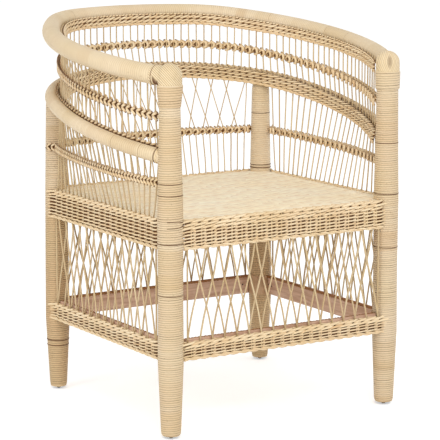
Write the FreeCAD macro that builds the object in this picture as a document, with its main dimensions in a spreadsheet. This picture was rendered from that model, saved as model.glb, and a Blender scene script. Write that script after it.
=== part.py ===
import FreeCAD, Part
import math
import os
import Sketcher
from FreeCAD import Placement, Rotation, Vector

# A barrel armchair of rattan poles, wrapped in peel and filled with woven canes.
# Frame: +Z up, +Y to the back, origin under the middle of the whole chair.
# Left and right are as seen by someone who stands in front of it, so +X is right.
# Each part is built from the driving sizes below, in millimetres and degrees.

drivingSizes = {
    # Plan of the four posts, and how far the rails pass them
    "post_span_width": 546.0,
    "post_span_depth": 505.0,
    "rim_back_reach": 145.5,
    "arm_back_reach": 107.5,
    # Posts: heights and wrapped radii, from the floor up
    "glide_height": 6.0,
    "glide_radius": 7.0,
    "core_radius": 18.0,
    "front_foot_radius": 22.0,
    "rear_foot_radius": 20.2,
    "stretcher_radius": 27.8,
    "waist_radius": 26.8,
    "front_seat_radius": 27.8,
    "rear_seat_radius": 25.2,
    "arm_radius": 25.0,
    "rear_top_radius": 21.2,
    "neck_radius": 22.2,
    "collar_radius": 27.2,
    "collar_foot_radius": 24.0,
    "collar_height": 34.0,
    "collar_drop": 18.0,
    # Top rim: its plane rises to the back
    "rim_radius": 20.2,
    "rim_rise": 166.0,
    "rim_tilt": 7.0,
    "rim_bulge": 70.0,
    "rim_widest_setback": 6.5,
    "rim_back_radius": 600.0,
    "rim_corner_radius": 170.0,
    "cap_radius": 25.8,
    "cap_sleeve_radius": 22.4,
    "cap_sleeve_length": 40.0,
    # Arm rail: lower, steeper, carried by the rear posts
    "arm_rail_radius": 16.0,
    "arm_rise": 128.0,
    "arm_tilt": 10.9,
    "arm_bulge": 75.0,
    "arm_widest_setback": 10.5,
    "arm_back_radius": 403.0,
    "arm_corner_radius": 262.0,
    # Seat and its frame
    "seat_height": 459.0,
    "seat_thickness": 9.0,
    "seat_rail_radius": 12.0,
    "seat_rail_inset": 3.0,
    "slat_width": 34.0,
    "slat_thickness": 6.0,
    # Woven bands round the seat and round the legs
    "band_offset": 22.0,
    "band_thickness": 11.5,
    "seat_band_height": 64.0,
    "seat_band_lip": 2.0,
    "stretcher_band_height": 39.0,
    "stretcher_bottom": 164.0,
    "weave_bulge": 1.6,
    # Inner stretcher laths
    "lath_height": 44.0,
    "lath_thickness": 8.0,
    "strap_thickness": 2.5,
    "strap_turn": 114.0,
    # Canes and woven rows
    "cane_width": 3.2,
    "cane_pull": 24.0,
    "braid_height": 27.0,
    "arm_braid_height": 33.0,
    "arm_braid_lean": 9.0,
    "braid_thickness": 5.0,
    "row_height": 12.0,
    "outer_row_height": 16.0,
    "row_slack": 0.5,
    "lower_braid_height": 18.0,
    "strand_thickness": 3.4,
    "lower_row_front_drop": 54.0,
    "lower_row_climb": 25.0,
    # Room left between pieces
    "clearance": 0.3,
}

# Counts of what repeats
railSideCount = 10
postSideCount = 20
capSideCount = 16
domeStepCount = 4
glideSideCount = 12
poleSideCount = 16
upperCaneCount = 84
sideCaneCount = 24
backPairCount = 14
frontPairCount = 16
sidePairCount = 14
seatBandRowCount = 7
stretcherBandRowCount = 4
slatCount = 3
strapStepCount = 8

quarterTurn = 90
# Where the braids are bound to a rear post, in degrees from straight out or straight back
boundTurn = 18
# The turn in radians that a row takes without a station
straightTurn = 0.11
# How many spacings a lower cane leans on its way up
leanSpacings = 1.5
# How far up from the arm rail to the rim the upper canes bend
bendShare = 0.46
# Where along the row of upper canes the weaver's pull sets in and is full
pullStartShare = 0.35
pullEndShare = 0.65

doc = FreeCAD.newDocument("ArmChair")
sheet = doc.addObject("Spreadsheet::Sheet", "sizes")
for row, (alias, value) in enumerate(drivingSizes.items(), start=1):
    sheet.set(f"A{row}", alias)
    sheet.set(f"B{row}", str(value))
    sheet.setAlias(f"B{row}", alias)

# Heights and places that follow from others
derivedSizes = {
    "arm_front_height": "=seat_height + arm_rise",
    "rim_front_height": "=arm_front_height + rim_rise",
    "collar_top": "=rim_front_height - collar_drop",
    "seat_band_bottom": "=seat_height + seat_band_lip - seat_band_height",
    "lower_row_front_height": "=arm_front_height - lower_row_front_drop",
    "lower_row_rear_height": "=lower_row_front_height + lower_row_climb",
}
for row, (alias, rule) in enumerate(derivedSizes.items(), start=len(drivingSizes) + 1):
    sheet.set(f"A{row}", alias)
    sheet.set(f"B{row}", rule)
    sheet.setAlias(f"B{row}", alias)
doc.recompute()


def size(alias):
    return float(sheet.get(alias))


# Places worked out from the driving sizes
halfWidth = size("post_span_width") / 2
frontReach = size("stretcher_radius")
chairDepth = frontReach + size("post_span_depth") + size("rim_back_reach") + size("rim_radius")
frontY = frontReach - chairDepth / 2
rearY = frontY + size("post_span_depth")
posts = {
    "front_left": (-halfWidth, frontY),
    "front_right": (halfWidth, frontY),
    "rear_left": (-halfWidth, rearY),
    "rear_right": (halfWidth, rearY),
}
caneGap = size("cane_width") / 2 + size("clearance")
bandMiddle = size("band_offset") - size("band_thickness") / 2
seatBandTop = size("seat_band_bottom") + size("seat_band_height")

parts = []


def keep(shape, name):
    shape.Label = name
    parts.append(shape)
    return shape


def originPlane(body, role):
    return [f for f in body.Origin.OriginFeatures if f.Role == role][0]


def newSketch(body, name, role):
    sketch = body.newObject("Sketcher::SketchObject", name)
    sketch.AttachmentSupport = [(originPlane(body, role), "")]
    sketch.MapMode = "FlatFace"
    return sketch


def closedOutline(sketch, points):
    """Straight edges round the points, each joined to the next."""
    count = len(points)
    for i in range(count):
        sketch.addGeometry(Part.LineSegment(Vector(*points[i], 0), Vector(*points[(i + 1) % count], 0)))
    for i in range(count):
        sketch.addConstraint(Sketcher.Constraint("Coincident", i, 2, (i + 1) % count, 1))


# Plan curve of a rail: side arc, corner arc, back arc, corner arc, side arc, all tangent
class HoopCurve:
    def __init__(self, tilt, bulge, setback, backReach, backRadius, cornerRadius, inset):
        slope = math.cos(math.radians(tilt))
        widestY = (size("post_span_depth") / 2 + setback) / slope
        backY = (size("post_span_depth") + backReach) / slope
        sideRadius = (bulge**2 + widestY**2) / (2 * bulge)
        self.side = (halfWidth + bulge - sideRadius, widestY)
        self.back = (0, backY - backRadius)
        toBack = (self.back[0] - self.side[0], self.back[1] - self.side[1])
        apart = math.hypot(*toBack)
        reachSide = sideRadius - cornerRadius
        reachBack = backRadius - cornerRadius
        along = (reachSide**2 - reachBack**2 + apart**2) / (2 * apart)
        across = math.sqrt(reachSide**2 - along**2)
        unit = (toBack[0] / apart, toBack[1] / apart)
        foot = (self.side[0] + along * unit[0], self.side[1] + along * unit[1])
        meetings = [(foot[0] + turn * unit[1], foot[1] - turn * unit[0]) for turn in (across, -across)]
        self.corner = max(meetings)
        self.sideRadius = sideRadius - inset
        self.cornerRadius = cornerRadius - inset
        self.backRadius = backRadius - inset
        self.startAngle = math.atan2(-self.side[1], halfWidth - self.side[0])
        self.sideAngle = math.atan2(self.corner[1] - self.side[1], self.corner[0] - self.side[0])
        self.cornerAngle = math.atan2(self.corner[1] - self.back[1], self.corner[0] - self.back[0])
        self.lengths = (
            self.sideRadius * (self.sideAngle - self.startAngle),
            self.cornerRadius * (self.cornerAngle - self.sideAngle),
            self.backRadius * (math.pi / 2 - self.cornerAngle),
        )
        self.half = sum(self.lengths)

    def point(self, distance):
        """Place and outward direction at a distance along the right half, from its front end."""
        if distance <= self.lengths[0]:
            centre, radius = self.side, self.sideRadius
            angle = self.startAngle + distance / radius
        elif distance <= self.lengths[0] + self.lengths[1]:
            centre, radius = self.corner, self.cornerRadius
            angle = self.sideAngle + (distance - self.lengths[0]) / radius
        else:
            centre, radius = self.back, self.backRadius
            angle = self.cornerAngle + (distance - self.lengths[0] - self.lengths[1]) / radius
        out = (math.cos(angle), math.sin(angle))
        return (centre[0] + radius * out[0], centre[1] + radius * out[1]), out

    def arcs(self, start):
        """The five arcs, from the right front end round the back to the left one."""
        first = self.startAngle + start / self.sideRadius
        right = [
            (self.side, self.sideRadius, first, self.sideAngle),
            (self.corner, self.cornerRadius, self.sideAngle, self.cornerAngle),
        ]
        left = [((-x, y), radius, math.pi - end, math.pi - begin) for (x, y), radius, begin, end in right]
        back = (self.back, self.backRadius, self.cornerAngle, math.pi - self.cornerAngle)
        return right + [back] + left[::-1]


def hoop(kind, inset):
    return HoopCurve(
        size(f"{kind}_tilt"), size(f"{kind}_bulge"), size(f"{kind}_widest_setback"),
        size(f"{kind}_back_reach"), size(f"{kind}_back_radius"), size(f"{kind}_corner_radius"), inset,
    )


def buildRail(name, kind, radius, trim):
    """A round pole bent to the hoop curve in its tilted plane, sleeved in peel."""
    curve = hoop(kind, 0)
    body = doc.addObject("PartDesign::Body", name + "_body")
    spine = newSketch(body, name + "_spine", "XY_Plane")
    up = Vector(0, 0, 1)
    arcs = curve.arcs(trim)
    for centre, arcRadius, start, end in arcs:
        circle = Part.Circle(Vector(*centre, 0), up, arcRadius)
        spine.addGeometry(Part.ArcOfCircle(circle, start, end))
    for i in range(len(arcs) - 1):
        spine.addConstraint(Sketcher.Constraint("Tangent", i, 2, i + 1, 1))
    cornerArc, backArc = 1, 2
    for index, alias in ((cornerArc, "corner_radius"), (backArc, "back_radius")):
        bend = spine.addConstraint(Sketcher.Constraint("Radius", index, size(f"{kind}_{alias}")))
        spine.setExpression(f"Constraints[{bend}]", f"sizes.{kind}_{alias}")
    doc.recompute()
    profile = body.newObject("Sketcher::SketchObject", name + "_profile")
    profile.AttachmentSupport = [(spine, "Edge1")]
    profile.MapMode = "NormalToEdge"
    ring = []
    for i in range(railSideCount):
        angle = 2 * math.pi * (i + 0.5) / railSideCount
        ring.append((radius * math.cos(angle), radius * math.sin(angle)))
    closedOutline(profile, ring)
    doc.recompute()
    pipe = body.newObject("PartDesign::AdditivePipe", name + "_pole")
    pipe.Profile = profile
    pipe.Spine = (spine, [f"Edge{i + 1}" for i in range(len(arcs))])
    pipe.Mode = "Standard"
    body.Placement = Placement(Vector(0, frontY, 0), Rotation(Vector(1, 0, 0), size(f"{kind}_tilt")))
    body.setExpression("Placement.Base.z", f"sizes.{kind}_front_height")
    doc.recompute()
    return keep(body, name)


def along(kind, inset, distance, side):
    """A point of a rail's offset curve in the chair's frame, and its outward direction in plan."""
    curve = hoop(kind, inset)
    (x, y), (outX, outY) = curve.point(distance)
    tilt = math.radians(size(f"{kind}_tilt"))
    place = Vector(side * x, frontY + y * math.cos(tilt), size(f"{kind}_front_height") + y * math.sin(tilt))
    return place, Vector(side * outX, outY, 0).normalize()


def distanceAtDepth(kind, inset, depth):
    """How far along the half curve its plan depth behind the front posts is reached."""
    curve = hoop(kind, inset)
    slope = math.cos(math.radians(size(f"{kind}_tilt")))
    low, high = 0, curve.half
    for _ in range(40):
        middle = (low + high) / 2
        if curve.point(middle)[0][1] * slope < depth:
            low = middle
        else:
            high = middle
    return low


def distanceAtWidth(kind, inset, width):
    """How far along the half curve it comes back in to the given half width, behind its widest place."""
    curve = hoop(kind, inset)
    low, high = curve.lengths[0] / 2, curve.half
    for _ in range(40):
        middle = (low + high) / 2
        if curve.point(middle)[0][0] > width:
            low = middle
        else:
            high = middle
    return low


def outAt(angle):
    return Vector(math.cos(math.radians(angle)), math.sin(math.radians(angle)), 0)


def prism(name, sides, radiusAlias, place, bottom, height):
    """An upright round piece with flat facets, its radius read from the sheet."""
    piece = doc.addObject("Part::Prism", name)
    piece.Polygon = sides
    piece.setExpression("Circumradius", radiusAlias)
    piece.Height = height
    piece.Placement = Placement(Vector(*place, bottom), Rotation())
    return piece


def turned(name, sides, place, outline):
    """An upright round piece with flat facets whose radius changes from one height to the next."""
    rings = []
    for height, radius in outline:
        centre = Vector(*place, height)
        rings.append([centre + outAt(360 * i / sides) * radius for i in range(sides)])
    faces = [rings[0], rings[-1]]
    for low, high in zip(rings, rings[1:]):
        for i in range(sides):
            faces.append([low[i], low[i - 1], high[i - 1], high[i]])
    shell = Part.makeShell([Part.Face(Part.makePolygon(face + [face[0]])) for face in faces])
    solid = Part.makeSolid(shell)
    if solid.Volume < 0:
        solid.reverse()
    piece = doc.addObject("Part::Feature", name + "_turned")
    piece.Shape = solid
    return piece


def cut(name, base, tool):
    piece = doc.addObject("Part::Cut", name)
    piece.Base = base
    piece.Tool = tool
    return piece


def armSeat(name, piece, side):
    """The top of a rear post, hollowed to carry the arm rail."""
    depth = distanceAtDepth("arm", 0, size("post_span_depth"))
    centre, out = along("arm", 0, depth, side)
    tangent = Vector(out.y, -out.x, 0) * -side
    tangent.z = tangent.y * math.tan(math.radians(size("arm_tilt")))
    tangent.normalize()
    bend = size("rear_top_radius") ** 2 / (2 * size("arm_corner_radius"))
    reach = size("arm_corner_radius") / 2
    trough = doc.addObject("Part::Cylinder", name + "_trough")
    trough.Radius = size("arm_rail_radius") + size("clearance") + bend
    trough.Height = 2 * reach
    lift = Vector(0, 0, bend)
    trough.Placement = Placement(centre - tangent * reach + lift, Rotation(Vector(0, 0, 1), tangent))
    return cut(name + "_seated", piece, trough)


def buildPosts():
    """Poles in sleeves of wound peel that swell where the bands are bound, and taper to the feet."""
    bottom, stretcher = size("glide_height"), size("stretcher_bottom")
    waist = (stretcher + size("stretcher_band_height") + size("seat_band_bottom")) / 2
    rise = size("post_span_depth") * math.tan(math.radians(size("arm_tilt")))
    rearTop = size("arm_front_height") + rise - size("arm_rail_radius") / 2
    lower = [(stretcher, size("stretcher_radius")), (waist, size("waist_radius"))]
    frontOutline = [
        (bottom, size("front_foot_radius")),
        *lower,
        (size("seat_height"), size("front_seat_radius")),
        (size("arm_front_height"), size("arm_radius")),
        (size("collar_top") - size("collar_height"), size("neck_radius")),
        (size("collar_top"), size("neck_radius")),
    ]
    rearOutline = [
        (bottom, size("rear_foot_radius")),
        *lower,
        (size("seat_height"), size("rear_seat_radius")),
        (rearTop, size("rear_top_radius")),
    ]
    for name, place in posts.items():
        front = name.startswith("front")
        tall = (size("collar_top") if front else rearTop) - bottom
        core = prism(f"pole_{name}", postSideCount, "sizes.core_radius", place, bottom, tall)
        bore = prism(f"bore_{name}", postSideCount, "sizes.core_radius + sizes.clearance", place, bottom, tall)
        outline = frontOutline if front else rearOutline
        sleeve = cut(f"sleeve_{name}", turned(f"peel_{name}", postSideCount, place, outline), bore)
        if not front:
            side = math.copysign(1, place[0])
            core = armSeat(f"pole_{name}", core, side)
            sleeve = armSeat(f"sleeve_{name}", sleeve, side)
        keep(core, "post_core_" + name)
        keep(sleeve, "post_wrap_" + name)
        glide = [(0, size("glide_radius") / 2), (bottom, size("glide_radius"))]
        keep(turned(f"glide_{name}", glideSideCount, place, glide), "foot_glide_" + name)


def buildCollar(name, place):
    """The thick lashing round the top of a front post."""
    bottom = size("collar_top") - size("collar_height")
    tall = size("collar_height")
    taper = [(bottom, size("collar_foot_radius")), (size("collar_top"), size("collar_radius"))]
    outer = turned(name + "_outer", postSideCount, place, taper)
    inner = prism(name + "_inner", postSideCount, "sizes.neck_radius + sizes.clearance", place, bottom, tall)
    keep(cut(name + "_ring", outer, inner), name)


def buildRimCap(name, place, side):
    """The lashed elbow where the rim meets a front post: an upright dome and a sleeve along the rim."""
    shoulder = size("rim_front_height") + size("rim_radius") / 4
    radius = size("cap_radius")
    dome = [(size("collar_top"), radius)]
    for i in range(domeStepCount + 1):
        angle = math.radians(quarterTurn) * i / (domeStepCount + 0.5)
        dome.append((shoulder + radius * math.sin(angle), radius * math.cos(angle)))
    upright = turned(name + "_dome", capSideCount, place, dome)
    end, _ = along("rim", 0, size("cap_sleeve_length"), side)
    start = Vector(*place, size("rim_front_height"))
    sleeve = prism(name + "_sleeve", capSideCount, "sizes.cap_sleeve_radius", place, 0, (end - start).Length)
    sleeve.Placement = Placement(start, Rotation(Vector(0, 0, 1), end - start))
    elbow = doc.addObject("Part::Fuse", name + "_elbow")
    elbow.Base = upright
    elbow.Tool = sleeve
    bottom = size("collar_top") - size("collar_height")
    room = "sizes.collar_radius + sizes.clearance"
    seat = prism(name + "_seat", postSideCount, room, place, bottom, size("collar_height"))
    return keep(cut(name + "_seated", elbow, seat), name)


def fixed(name, shape):
    """A group of like pieces that is drawn straight from points."""
    group = doc.addObject("Part::Feature", name + "_group")
    group.Shape = shape
    return keep(group, name)


def caneSection(place, out):
    """The level section of a cane: three even sides, one of them facing outward."""
    sideways = Vector(-out.y, out.x, 0) * (size("cane_width") / math.sqrt(3))
    facing = Vector(out.x, out.y, 0) * (size("cane_width") / 2)
    corners = [place + sideways + facing, place - sideways + facing, place - facing]
    return Part.makePolygon(corners + [corners[0]])


def cane(start, end, out):
    """A straight cane with level ends."""
    return Part.Face(caneSection(start, out)).extrude(end - start)


def bentCane(line):
    """A cane that stands plumb under the rim and leans in to the arm rail below its bend."""
    return Part.makeLoft([caneSection(place, line.out) for place in (line.low, line.bend, line.top)], True, True)


def strip(stations, thickness, height):
    """A woven row in straight runs: each station is a centre and the direction in which the row stands."""
    sections = []
    for i, (centre, lean) in enumerate(stations):
        run = stations[min(i + 1, len(stations) - 1)][0] - stations[max(i - 1, 0)][0]
        across = Vector(-run.y, run.x, 0).normalize() * (thickness / 2)
        up = lean * (height / 2)
        corners = [centre + across + up, centre - across + up, centre - across - up, centre + across - up]
        sections.append(Part.makePolygon(corners + [corners[0]]))
    return Part.makeLoft(sections, True, True)


def thinned(stations):
    """Leaves out every second station where the row hardly turns."""
    kept = [stations[0]]
    skipped = False
    for here, following in zip(stations[1:], stations[2:]):
        turn = (here[0] - kept[-1][0]).getAngle(following[0] - here[0])
        if skipped or turn > straightTurn:
            kept.append(here)
            skipped = False
        else:
            skipped = True
    return kept + [stations[-1]]


class UpperLine:
    """One cane's line, from the inside of the rim, plumb down to its bend, then to the arm rail."""

    def __init__(self, rimDistance, armDistance, side):
        armInset = size("arm_rail_radius") + caneGap
        self.top, self.out = along("rim", size("rim_radius") + caneGap, rimDistance, side)
        low, armOut = along("arm", armInset, armDistance, side)
        self.bend = Vector(self.top.x, self.top.y, low.z + bendShare * (self.top.z - low.z))
        self.lean = math.atan2(max((self.bend - low).dot(armOut), 0), self.bend.z - low.z)
        sunk = armInset * math.sin(math.radians(size("arm_tilt"))) * max(armOut.y, 0)
        room = armInset * (1 / math.cos(self.lean) - 1) + sunk * math.tan(self.lean)
        self.low = low - armOut * room

    def station(self, shift, height):
        """Where a row of the given height crosses the bend, outside it for a positive shift."""
        half = self.lean / 2
        if shift < 0:
            shift -= height / 2 * math.tan(half)
        return self.bend + self.out * shift, Vector(0, 0, math.cos(half)) + self.out * math.sin(half)


def upperCaneLines():
    """Lines of the canes between the rim and the arm rail, from the left front round to the right."""
    rimStart, armStart = size("cap_sleeve_length"), size("arm_radius") + size("cane_width")
    rimRun = hoop("rim", size("rim_radius") + caneGap).half - rimStart
    armRun = hoop("arm", size("arm_rail_radius") + caneGap).half - armStart
    half = upperCaneCount // 2
    left, right = [], []
    for i in range(half):
        share = (i + 0.5) / half
        rimDistance, armDistance = rimStart + share * rimRun, armStart + share * armRun
        left.append(UpperLine(rimDistance, armDistance - pulled(share / 2), -1))
        right.append(UpperLine(rimDistance, armDistance + pulled(1 - share / 2), 1))
    return left + right[::-1]


def pulled(share):
    """How far the weaving has drawn a cane's lower end to the left, at a share of the way to the right."""
    ramp = (share - pullStartShare) / (pullEndShare - pullStartShare)
    return size("cane_pull") * min(max(ramp, 0), 1)


def buildUpperPanel():
    lines = upperCaneLines()
    third = len(lines) // 3
    groups = {"left": lines[:third], "back": lines[third:-third], "right": lines[-third:]}
    for name, group in groups.items():
        fixed("upper_canes_" + name, Part.makeCompound([bentCane(line) for line in group]))
    end = size("neck_radius")
    lines = [UpperLine(end, end, -1), *lines, UpperLine(end, end, 1)]
    room = caneGap + size("strand_thickness") / 2
    rows = {
        "outer": (room + size("row_slack"), size("outer_row_height")),
        "inner": (-room, size("row_height")),
    }
    for name, (shift, height) in rows.items():
        stations = [line.station(shift, height) for line in lines]
        fixed("upper_row_" + name, strip(thinned(stations), size("strand_thickness"), height))
    braid = []
    inward = caneGap + size("braid_thickness") / 2
    up = Vector(0, 0, 1)
    drop = up * (size("braid_height") / 2 - size("cane_width"))
    for line in lines:
        braid.append((line.top - drop - line.out * inward, up))
    fixed("rim_braid", strip(thinned(braid), size("braid_thickness"), size("braid_height")))


def sideLine(share, side):
    """A line from the inside of the arm rail to the seat band, at a share of the way to the back post."""
    inset = size("arm_rail_radius") + caneGap
    room = size("stretcher_radius") + size("cane_width")
    first = distanceAtDepth("arm", inset, room)
    last = distanceAtDepth("arm", inset, size("post_span_depth") - room)
    top, out = along("arm", inset, first + share * (last - first), side)
    y = frontY + room + share * (size("post_span_depth") - 2 * room)
    low = Vector(side * (halfWidth + bandMiddle), y, seatBandTop)
    return top - Vector(0, 0, size("cane_width")), low, out


def backLine(share):
    """A line from the inside of the arm rail to the rear seat band, at a share from the middle."""
    inset = size("arm_rail_radius") + caneGap
    room = size("rear_seat_radius") + size("cane_width")
    start = distanceAtWidth("arm", inset, halfWidth - room)
    curve = hoop("arm", inset)
    side = math.copysign(1, share)
    top, out = along("arm", inset, curve.half - abs(share) * (curve.half - start), side)
    low = Vector(share * (halfWidth - room), rearY + bandMiddle, seatBandTop)
    return top - Vector(0, 0, size("cane_width")), low, out


def lowerRowHeight(y):
    """The lower row climbs from the front posts to the rear ones and runs level behind the seat."""
    share = min((y - frontY) / size("post_span_depth"), 1)
    front = size("lower_row_front_height")
    return front + share * (size("lower_row_rear_height") - front)


def onLine(line, height):
    top, low, _ = line
    return low + (top - low) * ((height - low.z) / (top.z - low.z))


def rowStation(line, shift):
    """Where a woven row crosses a cane, outside it for a positive shift, leaning as the cane does."""
    top, low, out = line
    lean = math.atan2((top - low).dot(out), top.z - low.z)
    place = onLine(line, lowerRowHeight((top.y + low.y) / 2))
    return place + out * shift, Vector(0, 0, math.cos(lean)) + out * math.sin(lean)


def buildLowerRow(name, lines):
    """The beaded row on the inner side of the canes."""
    shift = caneGap + size("strand_thickness") / 2
    stations = [rowStation(line, -shift) for line in lines]
    fixed("lower_row_" + name, strip(thinned(stations), size("strand_thickness"), size("row_height")))


def buildLowerBraid(left, back, right):
    """The braid on the outer side of the canes, bound to the rear posts at both sides of each."""
    shift = caneGap + size("row_slack") + size("braid_thickness") / 2
    up = Vector(0, 0, 1)

    def over(lines):
        return thinned([rowStation(line, shift) for line in lines])

    def bound(name, angle):
        reach = size("rear_seat_radius") + size("clearance") + size("braid_thickness") / 2
        return [(Vector(*posts[name], size("lower_row_rear_height")) + outAt(angle) * reach, up)]

    behind = quarterTurn - boundTurn
    runs = [
        over(left) + bound("rear_left", 2 * quarterTurn + boundTurn),
        bound("rear_left", behind) + over(back) + bound("rear_right", 2 * quarterTurn - behind),
        bound("rear_right", -boundTurn) + over(right),
    ]
    braids = [strip(run, size("braid_thickness"), size("lower_braid_height")) for run in runs]
    fixed("lower_braid", Part.makeCompound(braids))


def buildMidPanels():
    """Canes from the arm rail to the seat band: plain at the sides, crossing in diamonds at the back."""
    shares = [(i + 0.5) / sideCaneCount for i in range(sideCaneCount)]
    ends = [0, *shares, 1]
    sides = {}
    for name, side in (("left", -1), ("right", 1)):
        canes = [cane(low, top, out) for top, low, out in (sideLine(share, side) for share in shares)]
        fixed("mid_canes_" + name, Part.makeCompound(canes))
        sides[name] = [sideLine(share, side) for share in ends]
        buildLowerRow(name, sides[name])
    count = 2 * backPairCount
    backShares = [(i + 0.5) / count * 2 - 1 for i in range(count)]
    lines = [backLine(share) for share in backShares]
    buildBackCanes(lines)
    back = [backLine(-1), *lines, backLine(1)]
    buildLowerRow("back", back)
    buildLowerBraid(sides["left"], back, sides["right"][::-1])


def buildBackCanes(lines):
    """Straight up to the woven row, then every second cane leans one way and the rest the other."""
    count = len(lines)
    split = size("lower_row_rear_height") + size("lower_braid_height") / 2 + size("clearance")
    behind = Vector(0, 1, 0)
    canes = [cane(line[1], onLine(line, split), behind) for line in lines]
    layer = size("cane_width") + size("clearance")
    for i, line in enumerate(lines):
        target = i + (2 if i % 2 else -2)
        if not 0 <= target < count:
            target = i
        top, _, out = lines[target]
        shift = out * (0 if i % 2 else -layer)
        start = onLine(line, split + size("clearance"))
        canes.append(cane(start + shift, top + shift, out))
    fixed("mid_canes_back", Part.makeCompound(canes))


def buildArmBraid():
    """The braid that hides the arm rail from the sitter, all the way round."""
    inset = size("arm_rail_radius") + caneGap
    room = size("cane_width") + size("clearance") + caneGap + size("row_slack") + size("braid_thickness") / 2
    lean = math.radians(size("arm_braid_lean"))
    start = size("neck_radius")
    run = hoop("arm", inset).half - start
    half = upperCaneCount // 4
    left, right = [], []
    for i in range(half + 1):
        for side, row in ((-1, left), (1, right)):
            centre, out = along("arm", inset, start + run * i / half, side)
            row.append((centre - out * room, Vector(0, 0, math.cos(lean)) + out * math.sin(lean)))
    stations = left + right[-2::-1]
    fixed("arm_braid", strip(stations, size("braid_thickness"), size("arm_braid_height")))


def buildBand(name, spanAlias, rows, heightAlias, bottomAlias, place, turn, reaches):
    """A woven band between two posts: rows that stand out one above another, hollowed to fit the posts."""
    body = doc.addObject("PartDesign::Body", name + "_body")
    sketch = newSketch(body, name + "_rows", "YZ_Plane")
    outer = -size("band_offset")
    crest = outer - size("weave_bulge")
    inner = outer + size("band_thickness")
    height = size(heightAlias)
    step = height / rows
    outline = [(inner, 0), (outer, 0)]
    for i in range(rows):
        outline += [(crest, (i + 0.5) * step), (outer, (i + 1) * step)]
    closedOutline(sketch, outline + [(inner, height)])
    doc.recompute()
    run = body.newObject("PartDesign::Pad", name + "_run")
    run.Profile = sketch
    run.setExpression("Length", f"sizes.{spanAlias}")
    doc.recompute()
    ends = newSketch(body, name + "_ends", "XY_Plane")
    for x, reach in zip((0, size(spanAlias)), reaches):
        ends.addGeometry(Part.Circle(Vector(x, 0, 0), Vector(0, 0, 1), reach + size("clearance")))
    doc.recompute()
    hollow = body.newObject("PartDesign::Pocket", name + "_hollows")
    hollow.Profile = ends
    hollow.Type = "ThroughAll"
    hollow.Reversed = True
    doc.recompute()
    body.Placement = Placement(Vector(*place, 0), Rotation(Vector(0, 0, 1), turn))
    body.setExpression("Placement.Base.z", f"sizes.{bottomAlias}")
    doc.recompute()
    return keep(body, name)


def buildBands():
    """The seat band and the stretcher band on each side, with what hangs between and behind them."""
    width, depth = "post_span_width", "post_span_depth"
    front, rear = size("front_seat_radius"), size("waist_radius")
    sides = {
        "front": (width, (-halfWidth, frontY), 0, frontPairCount, (front, front)),
        "right": (depth, (halfWidth, frontY), quarterTurn, sidePairCount, (front, rear)),
        "rear": (width, (halfWidth, rearY), 2 * quarterTurn, frontPairCount, (rear, rear)),
        "left": (depth, (-halfWidth, rearY), 3 * quarterTurn, sidePairCount, (rear, front)),
    }
    for name, (span, place, turn, pairs, reaches) in sides.items():
        seat = ("seat_band_height", "seat_band_bottom")
        buildBand("seat_band_" + name, span, seatBandRowCount, *seat, place, turn, reaches)
        stretcher = ("stretcher_band_height", "stretcher_bottom")
        feet = (size("stretcher_radius"), size("stretcher_radius"))
        buildBand("stretcher_band_" + name, span, stretcherBandRowCount, *stretcher, place, turn, feet)
        buildLath("stretcher_lath_" + name, span, place, turn)
        buildLowerCanes("lower_canes_" + name, size(span), place, turn, pairs)


def buildLath(name, spanAlias, place, turn):
    """A flat board behind the stretcher band, from strap to strap."""
    lath = doc.addObject("Part::Box", name + "_board")
    room = size("stretcher_radius") + size("strap_thickness") + 2 * size("clearance")
    lath.setExpression("Length", f"sizes.{spanAlias} - 2 * {room}")
    lath.setExpression("Width", "sizes.lath_thickness")
    lath.setExpression("Height", "sizes.lath_height")
    inner = size("band_thickness") - size("band_offset") + size("clearance")
    spin = Rotation(Vector(0, 0, 1), turn)
    corner = Vector(*place, 0) + spin.multVec(Vector(room, inner, 0))
    lath.Placement = Placement(corner, spin)
    lath.setExpression("Placement.Base.z", "sizes.stretcher_bottom")
    return keep(lath, name)


def buildLowerCanes(name, span, place, turn, pairs):
    """Two layers of canes that lean opposite ways and cross, with an upright one beside each post."""
    room = size("stretcher_radius") + size("cane_width")
    spacing = (span - 2 * room) / pairs
    bottom = size("stretcher_bottom") + size("stretcher_band_height")
    top = size("seat_band_bottom")
    layer = (size("cane_width") + size("clearance")) / 2
    last = pairs - 1

    def at(index, height, shift):
        return Vector(room + (index + 0.5) * spacing, shift - bandMiddle, height)

    def canes(low, high, shift):
        return cane(at(low, bottom, shift), at(high, top, shift), Vector(0, -1, 0))

    edge = 0.5
    made = [canes(-edge, -edge, 0), canes(last + edge, last + edge, 0)]
    for high in range(last):
        low = high + leanSpacings
        made += [canes(low, high, -layer), canes(last - low, last - high, layer)]
    group = fixed(name, Part.makeCompound(made))
    group.Placement = Placement(Vector(*place, 0), Rotation(Vector(0, 0, 1), turn))


def buildSeat():
    """The woven seat with its corners hollowed round the posts."""
    body = doc.addObject("PartDesign::Body", "seat_panel_body")
    sketch = newSketch(body, "seat_outline", "XY_Plane")
    edge = size("band_offset") - size("band_thickness") - size("clearance")
    x, low, high = halfWidth + edge, frontY - edge, rearY + edge
    closedOutline(sketch, [(-x, low), (x, low), (x, high), (-x, high)])
    doc.recompute()
    weave = body.newObject("PartDesign::Pad", "seat_weave")
    weave.Profile = sketch
    weave.setExpression("Length", "sizes.seat_thickness")
    doc.recompute()
    corners = newSketch(body, "seat_corners", "XY_Plane")
    for name, place in posts.items():
        post = size("front_seat_radius") if name.startswith("front") else size("waist_radius")
        circle = Part.Circle(Vector(*place, 0), Vector(0, 0, 1), post + size("clearance"))
        corners.addGeometry(circle)
    doc.recompute()
    hollow = body.newObject("PartDesign::Pocket", "seat_hollows")
    hollow.Profile = corners
    hollow.Type = "ThroughAll"
    hollow.Reversed = True
    doc.recompute()
    body.setExpression("Placement.Base.z", "sizes.seat_height - sizes.seat_thickness")
    doc.recompute()
    return keep(body, "seat_panel")


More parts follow.
